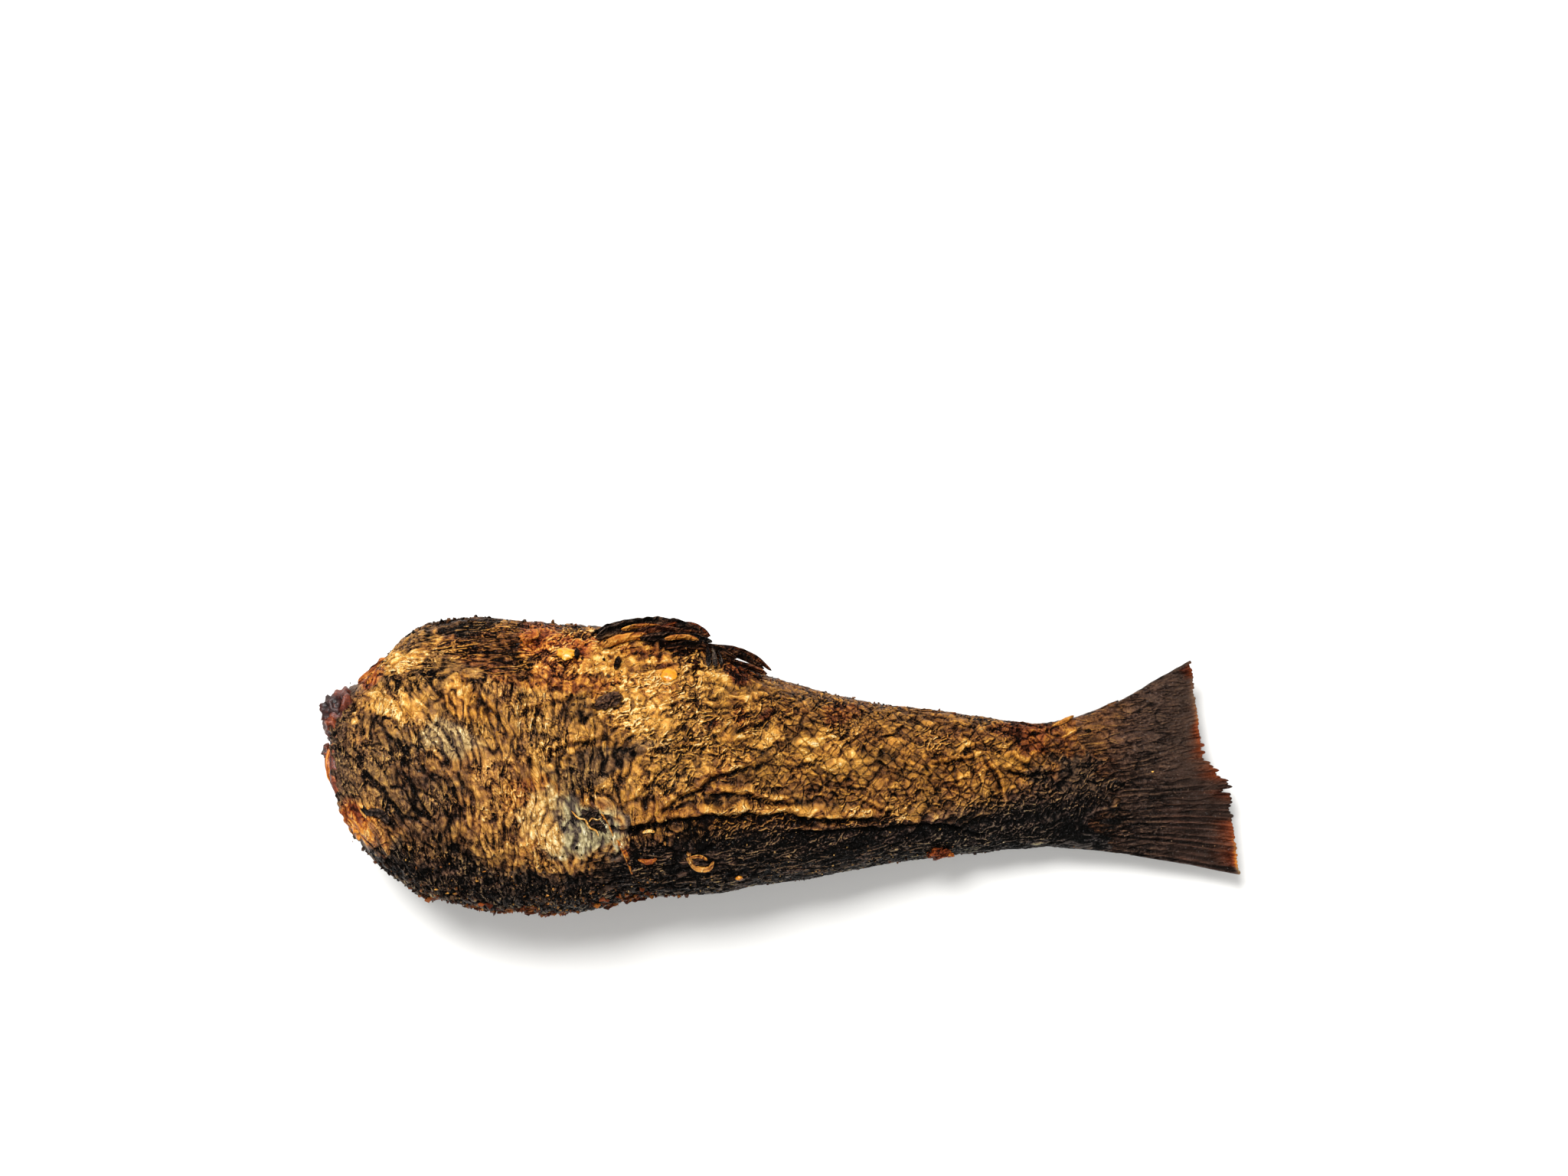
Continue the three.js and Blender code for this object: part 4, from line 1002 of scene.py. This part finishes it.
def set_stage():
    """A plain pale floor, soft studio light and the photograph's camera."""
    mesh = bpy.data.meshes.new("studio_floor")
    ground = bmesh.new()
    bmesh.ops.create_grid(ground, x_segments=1, y_segments=1, size=3.0)
    bmesh.ops.translate(ground, verts=ground.verts, vec=(0, 0, -0.0003))
    ground.to_mesh(mesh)
    ground.free()
    floor = bpy.data.objects.new("studio_floor", mesh)
    bpy.context.scene.collection.objects.link(floor)
    paper, _, shader = new_material("matt_white_card")
    shader.inputs["Base Color"].default_value = linear("#f4f3f0")
    shader.inputs["Roughness"].default_value = 0.9
    mesh.materials.append(paper)

    world = bpy.data.worlds.new("studio")
    bpy.context.scene.world = world
    world.use_nodes = True
    sky = world.node_tree.nodes["Background"]
    sky.inputs["Color"].default_value = (1.0, 1.0, 1.0, 1.0)
    sky.inputs["Strength"].default_value = SKY_STRENGTH
    for name, place, size, power in LAMPS:
        light = bpy.data.lights.new(name, "AREA")
        light.size, light.energy = size, power
        lamp = bpy.data.objects.new(name, light)
        lamp.location = place
        lamp.rotation_euler = (-Vector(place)).to_track_quat("-Z", "Y").to_euler()
        bpy.context.scene.collection.objects.link(lamp)

    camera = bpy.data.cameras.new("camera")
    camera.sensor_width = SENSOR_WIDTH
    camera.lens = LENS
    holder = bpy.data.objects.new("camera", camera)
    holder.location = (np.array(CAMERA_PLACE) + CENTRING) * MM
    bpy.context.scene.collection.objects.link(holder)
    bpy.context.scene.camera = holder
    bpy.context.scene.view_settings.view_transform = "Standard"


def laid_strands(table, first_seed, roll, ragged=0.35):
    """Strands lying on the skin: rows of (x, y) points, lift, width, thickness, tone, orange, silver."""
    laid = []
    for i, (points, lift, width, thick, tone, orange, silver) in enumerate(table):
        path = [lay(x, y, lift)[0] for x, y in points]
        laid.append(strand(path, width, thick, tone, orange, silver, first_seed + i, roll, ragged))
    return laid


set_stage()
SKIN, FLESH, FAT = smoke_cured_skin(), cured_flesh(), set_fat()
COLUMNS = UPPER_COLUMNS + LOWER_COLUMNS
for name, course in (("front_skin", FRONT_COURSE), ("rear_skin", REAR_COURSE)):
    piece(name, [shell(name, course[-1][0], COLUMNS, skin_placer(course))], SKIN)
piece("tail_fin", [shell("tail_fin", FIN_ROWS, 2 * FIN_HALF_COLUMNS, place_fin)], SKIN)
piece("cut_flesh", [shell("cut_flesh", FLESH_ROWS, FLESH_COLUMNS, place_flesh)], FLESH)

# The charred crest: burnt layers of skin over the belly edge, lifting and splitting towards the tail.
CREST = [
    # (x, y) points, then lift, width, thickness, tone, orange, silver
    ([(-60, 41), (-50, 43.6), (-40, 44.4), (-28, 42.6)], 1.4, 6.5, 1.32, 0.13, 0.1, 0.5),
    ([(-62, 43), (-50, 46.0), (-40, 46.2), (-30, 44.6), (-25, 41.6)], -0.6, 5.72, 1.56, 0.10, 0.2, 0.4),
    ([(-56, 39), (-44, 41.6), (-34, 41.4), (-24, 40.0)], 2.0, 4.68, 0.96, 0.16, 0.5, 0.2),
    ([(-46, 40), (-38, 40.2), (-30, 39.6), (-23, 38.0)], 2.2, 3.64, 0.9, 0.10, 0.2, 0.5),
    ([(-43, 42), (-34, 43.2), (-27, 42.0), (-23.6, 39.4)], 2.6, 2.34, 0.78, 0.22, 0.9, 0.0),
    ([(-36, 43.6), (-30, 43.4), (-25.6, 41.8)], 2.6, 1.69, 0.66, 0.30, 0.9, 0.0),
    ([(-58, 38), (-50, 40.4), (-43, 40.6)], 2.2, 3.38, 0.84, 0.50, 0.6, 0.0),
    ([(-52, 42.0), (-45, 42.8), (-39, 42.4)], 3.0, 2.08, 0.84, 0.52, 0.7, 0.0),
    ([(-38, 39.2), (-32, 39.4), (-27, 38.2)], 3.0, 2.21, 0.84, 0.56, 0.7, 0.0),
    ([(-38, 37.4), (-30, 38.2), (-22, 36.4), (-15, 33.6)], 1.5, 3.38, 0.96, 0.07, 0.3, 0.2),
    ([(-28, 37.6), (-21, 36.6), (-14, 34.0), (-6, 29.6)], 2.0, 2.86, 0.78, 0.13, 0.3, 0.3),
    ([(-22, 37.0), (-15, 35.4), (-9, 32.6), (-3.6, 28.6)], 2.4, 2.21, 0.72, 0.16, 0.6, 0.1),
    ([(-18, 33.6), (-12, 31.6), (-5, 28.6)], 1.4, 1.95, 0.6, 0.12, 0.4, 0.2),
    ([(-24.6, 37.6), (-24.0, 34.6), (-23.6, 31.6)], 1.6, 1.95, 0.54, 0.16, 0.0, 0.8),
    ([(-22.6, 37.2), (-22.2, 34.4), (-21.4, 31.2)], 1.9, 1.69, 0.54, 0.20, 0.0, 0.8),
    ([(-20.8, 36.4), (-20.2, 34.0), (-19.8, 31.8)], 1.7, 1.56, 0.48, 0.14, 0.0, 0.8),
]
piece("charred_crest", laid_strands(CREST, 0, roll=-0.5, ragged=0.26), SKIN)

# Curls, filaments and peeling edges: (x, y) points, then lift, width, thickness, tone, orange, silver.
CURLS = [
    ([(-29, -23), (-29.6, -27), (-27, -30.4), (-23.4, -30.6), (-21.8, -28)], 0.9, 1.7, 0.7, 0.52, 0.3, 0.1),
    ([(-29.4, -26.4), (-26, -26.2), (-23.6, -27.4)], 1.4, 1.2, 0.7, 0.54, 0.5, 0.0),
    ([(-66, -11.4), (-63.8, -13.7), (-61.8, -14.2), (-60.3, -16.7), (-58.3, -17.7), (-57.4, -19.8)],
     1.2, 0.6, 0.45, 0.72, 0.3, 0.0),
    ([(-60.6, -15.0), (-59.4, -13.7), (-57.8, -14.3), (-56.4, -13.4)], 1.5, 0.5, 0.4, 0.74, 0.2, 0.2),
    ([(-57.6, -11), (-55.2, -15), (-53, -20)], 0.7, 1.0, 0.7, 0.46, 0.7, 0.0),
    ([(-53.6, -19), (-50.4, -23.4), (-48.4, -28.4), (-47.4, -32.6)], 0.5, 1.3, 0.9, 0.44, 0.8, 0.0),
    ([(-44, -18.6), (-42, -18), (-40, -18.4)], 0.8, 1.0, 0.6, 0.80, 0.2, 0.0),
    ([(-45.6, -27.4), (-42.6, -28.2), (-39.6, -27.2)], 0.5, 1.5, 0.7, 0.36, 0.8, 0.0),
    ([(-131, -15.5), (-128, -18.6), (-125.6, -23), (-124.6, -26)], 1.6, 2.4, 1.4, 0.50, 0.4, 0.2),
    ([(-134, -10.6), (-131, -12.6), (-127, -12.8), (-123.6, -16)], 0.9, 2.4, 1.2, 0.14, 0.0, 0.6),
    ([(-138, 26), (-134.6, 28.6), (-131, 31.6), (-128, 34.6)], 0.5, 3.6, 2.4, 0.40, 0.9, 0.0),
    ([(-134, 25.6), (-131, 28.6), (-129, 31.6)], 0.9, 2.6, 1.6, 0.55, 1.0, 0.0),
    ([(89, 12.0), (93, 13.6), (97, 15.2)], 0.2, 1.5, 0.9, 0.54, 0.4, 0.0),
]
flakes = [
    blob(-55, 22, 7.8, 4.4, 1.9, 0.26, 0.2, 0.4, tilt=24, seed=1, lift=0.4, ragged=0.55),
    blob(-58.4, -14.6, 8.6, 5.6, 2.0, 0.15, 0.1, 0.6, tilt=-38, seed=2, lift=0.1, ragged=0.6),
    blob(51, -28.4, 7.0, 4.6, 2.6, 0.26, 0.9, 0.0, tilt=30, seed=3, lift=0.6, ragged=0.5),
    blob(54, -28.6, 3.4, 2.4, 2.0, 0.46, 1.0, 0.0, tilt=-30, seed=4, lift=0.8, ragged=0.5),
    blob(101, 10.6, 2.0, 1.4, 0.8, 0.03, 0.0, 0.3, seed=5, lift=0.1),
    blob(-81, 42, 6.0, 4.0, 2.6, 0.50, 0.9, 0.0, tilt=60, seed=6, lift=0.6, ragged=0.5),
    blob(-65.6, 37.0, 1.8, 4.2, 1.4, 0.06, 0.0, 0.3, seed=7, lift=0.2),
    blob(-52.6, 34.0, 2.0, 4.6, 1.4, 0.08, 0.2, 0.2, tilt=-10, seed=8, lift=0.1),
    blob(-29, 33.6, 5.0, 3.4, 1.4, 0.06, 0.5, 0.0, tilt=-20, seed=9, lift=0.1),
]
piece("curls_and_flakes", laid_strands(CURLS, 20, roll=0.3) + flakes, SKIN)
beads = [
    blob(-36.2, 30.2, 5.2, 4.8, 1.2, 0.54, seed=10, lift=0.15, ragged=0.18),
    blob(-69, 37, 5.6, 4.4, 1.3, 0.64, tilt=-24, seed=11, lift=0.0, ragged=0.32),
    blob(-14, -34.6, 2.4, 1.8, 1.4, 0.45, seed=12, lift=0.4, ragged=0.2),
    blob(123, -3, 1.2, 2.6, 0.9, 0.75, tilt=-20, seed=13, lift=0.3, ragged=0.3),
]
piece("fat_beads", beads, FAT)
lumps = [
    blob(0, 0, 17, 13, 11, 0.22, 0.15, 0.0, seed=20, at=(-140.6, 16, 33), ragged=0.34, creased=4.0),
    blob(0, 0, 8, 6, 7, 0.10, 0.0, 0.0, seed=21, at=(-145.0, 19, 36), ragged=0.4, creased=2.4),
    blob(0, 0, 7, 8, 6, 0.14, 0.2, 0.0, seed=22, at=(-143.4, 9, 35), ragged=0.4, creased=2.6),
    blob(0, 0, 5, 5, 4, 0.30, 0.7, 0.0, seed=26, at=(-144.8, 14, 38), ragged=0.4, creased=2.0),
    blob(0, 0, 12, 5, 5, 0.50, 1.0, 0.0, seed=23, at=(-142.6, 1, 36), ragged=0.3, creased=3.0),
    blob(0, 0, 4, 4, 4, 0.18, 0.9, 0.0, seed=24, at=(-146.6, 5, 35), ragged=0.5, creased=2.0),
    blob(0, 0, 10, 6, 4, 0.66, 1.0, 0.0, seed=25, at=(-136.4, -17, 38.5), ragged=0.4, creased=3.0),
]
shreds = [
    # (x, y, z) points, width, thickness, tone, orange, silver, seed
    strand([(-144.4, 7.5, 37), (-145.8, 3, 38), (-145.6, -2, 38), (-143.8, -6.5, 37)],
           2.6, 1.3, 0.50, 1.0, 0, 31),
    strand([(-141.6, 12, 41), (-142.8, 5, 42), (-142.4, -3, 42), (-140.4, -11, 41)],
           4.2, 1.8, 0.28, 0.2, 0, 32),
    strand([(-140.6, -12, 39), (-138, -15, 41), (-134.6, -19, 40)], 3.4, 1.8, 0.70, 1.0, 0, 33),
    strand([(-138.4, -13, 40), (-135.4, -17, 41), (-133.4, -21, 38)], 2.6, 1.6, 0.48, 1.0, 0, 34),
]
piece("cut_lumps", lumps + shreds, FLESH)
grains = [
    # count, x range, turn range, size range, tone, orange, silver, seed
    crumbs(900, (-108, -46), (2.84, 3.32), (0.4, 1.9), 0.37, 0.75, 0.05, 101),
    crumbs(160, (-134, -100), (2.5, 3.4), (0.4, 1.3), 0.30, 0.3, 0.2, 102),
    crumbs(240, (-124, -60), (-0.25, 0.35), (0.4, 1.2), 0.18, 0.3, 0.1, 103),
    crumbs(140, (-60, 60), (-0.2, 0.25), (0.4, 1.1), 0.26, 0.4, 0.0, 104),
    crumbs(420, (-118, -50), (2.2, 2.95), (0.4, 1.3), 0.16, 0.2, 0.4, 105),
    crumbs(160, (-112, -50), (2.2, 3.0), (0.4, 1.0), 0.62, 0.4, 0.1, 106),
    crumbs(150, (-46, 50), (2.0, 2.9), (0.25, 0.7), 0.60, 0.1, 0.4, 107),
    crumbs(140, (-50, 70), (2.9, 3.3), (0.4, 0.9), 0.30, 0.5, 0.2, 108),
    crumbs(110, (-88, -20), (0.35, 1.25), (0.4, 1.3), 0.12, 0.2, 0.3, 109),
]
piece("crumbs", grains, SKIN)
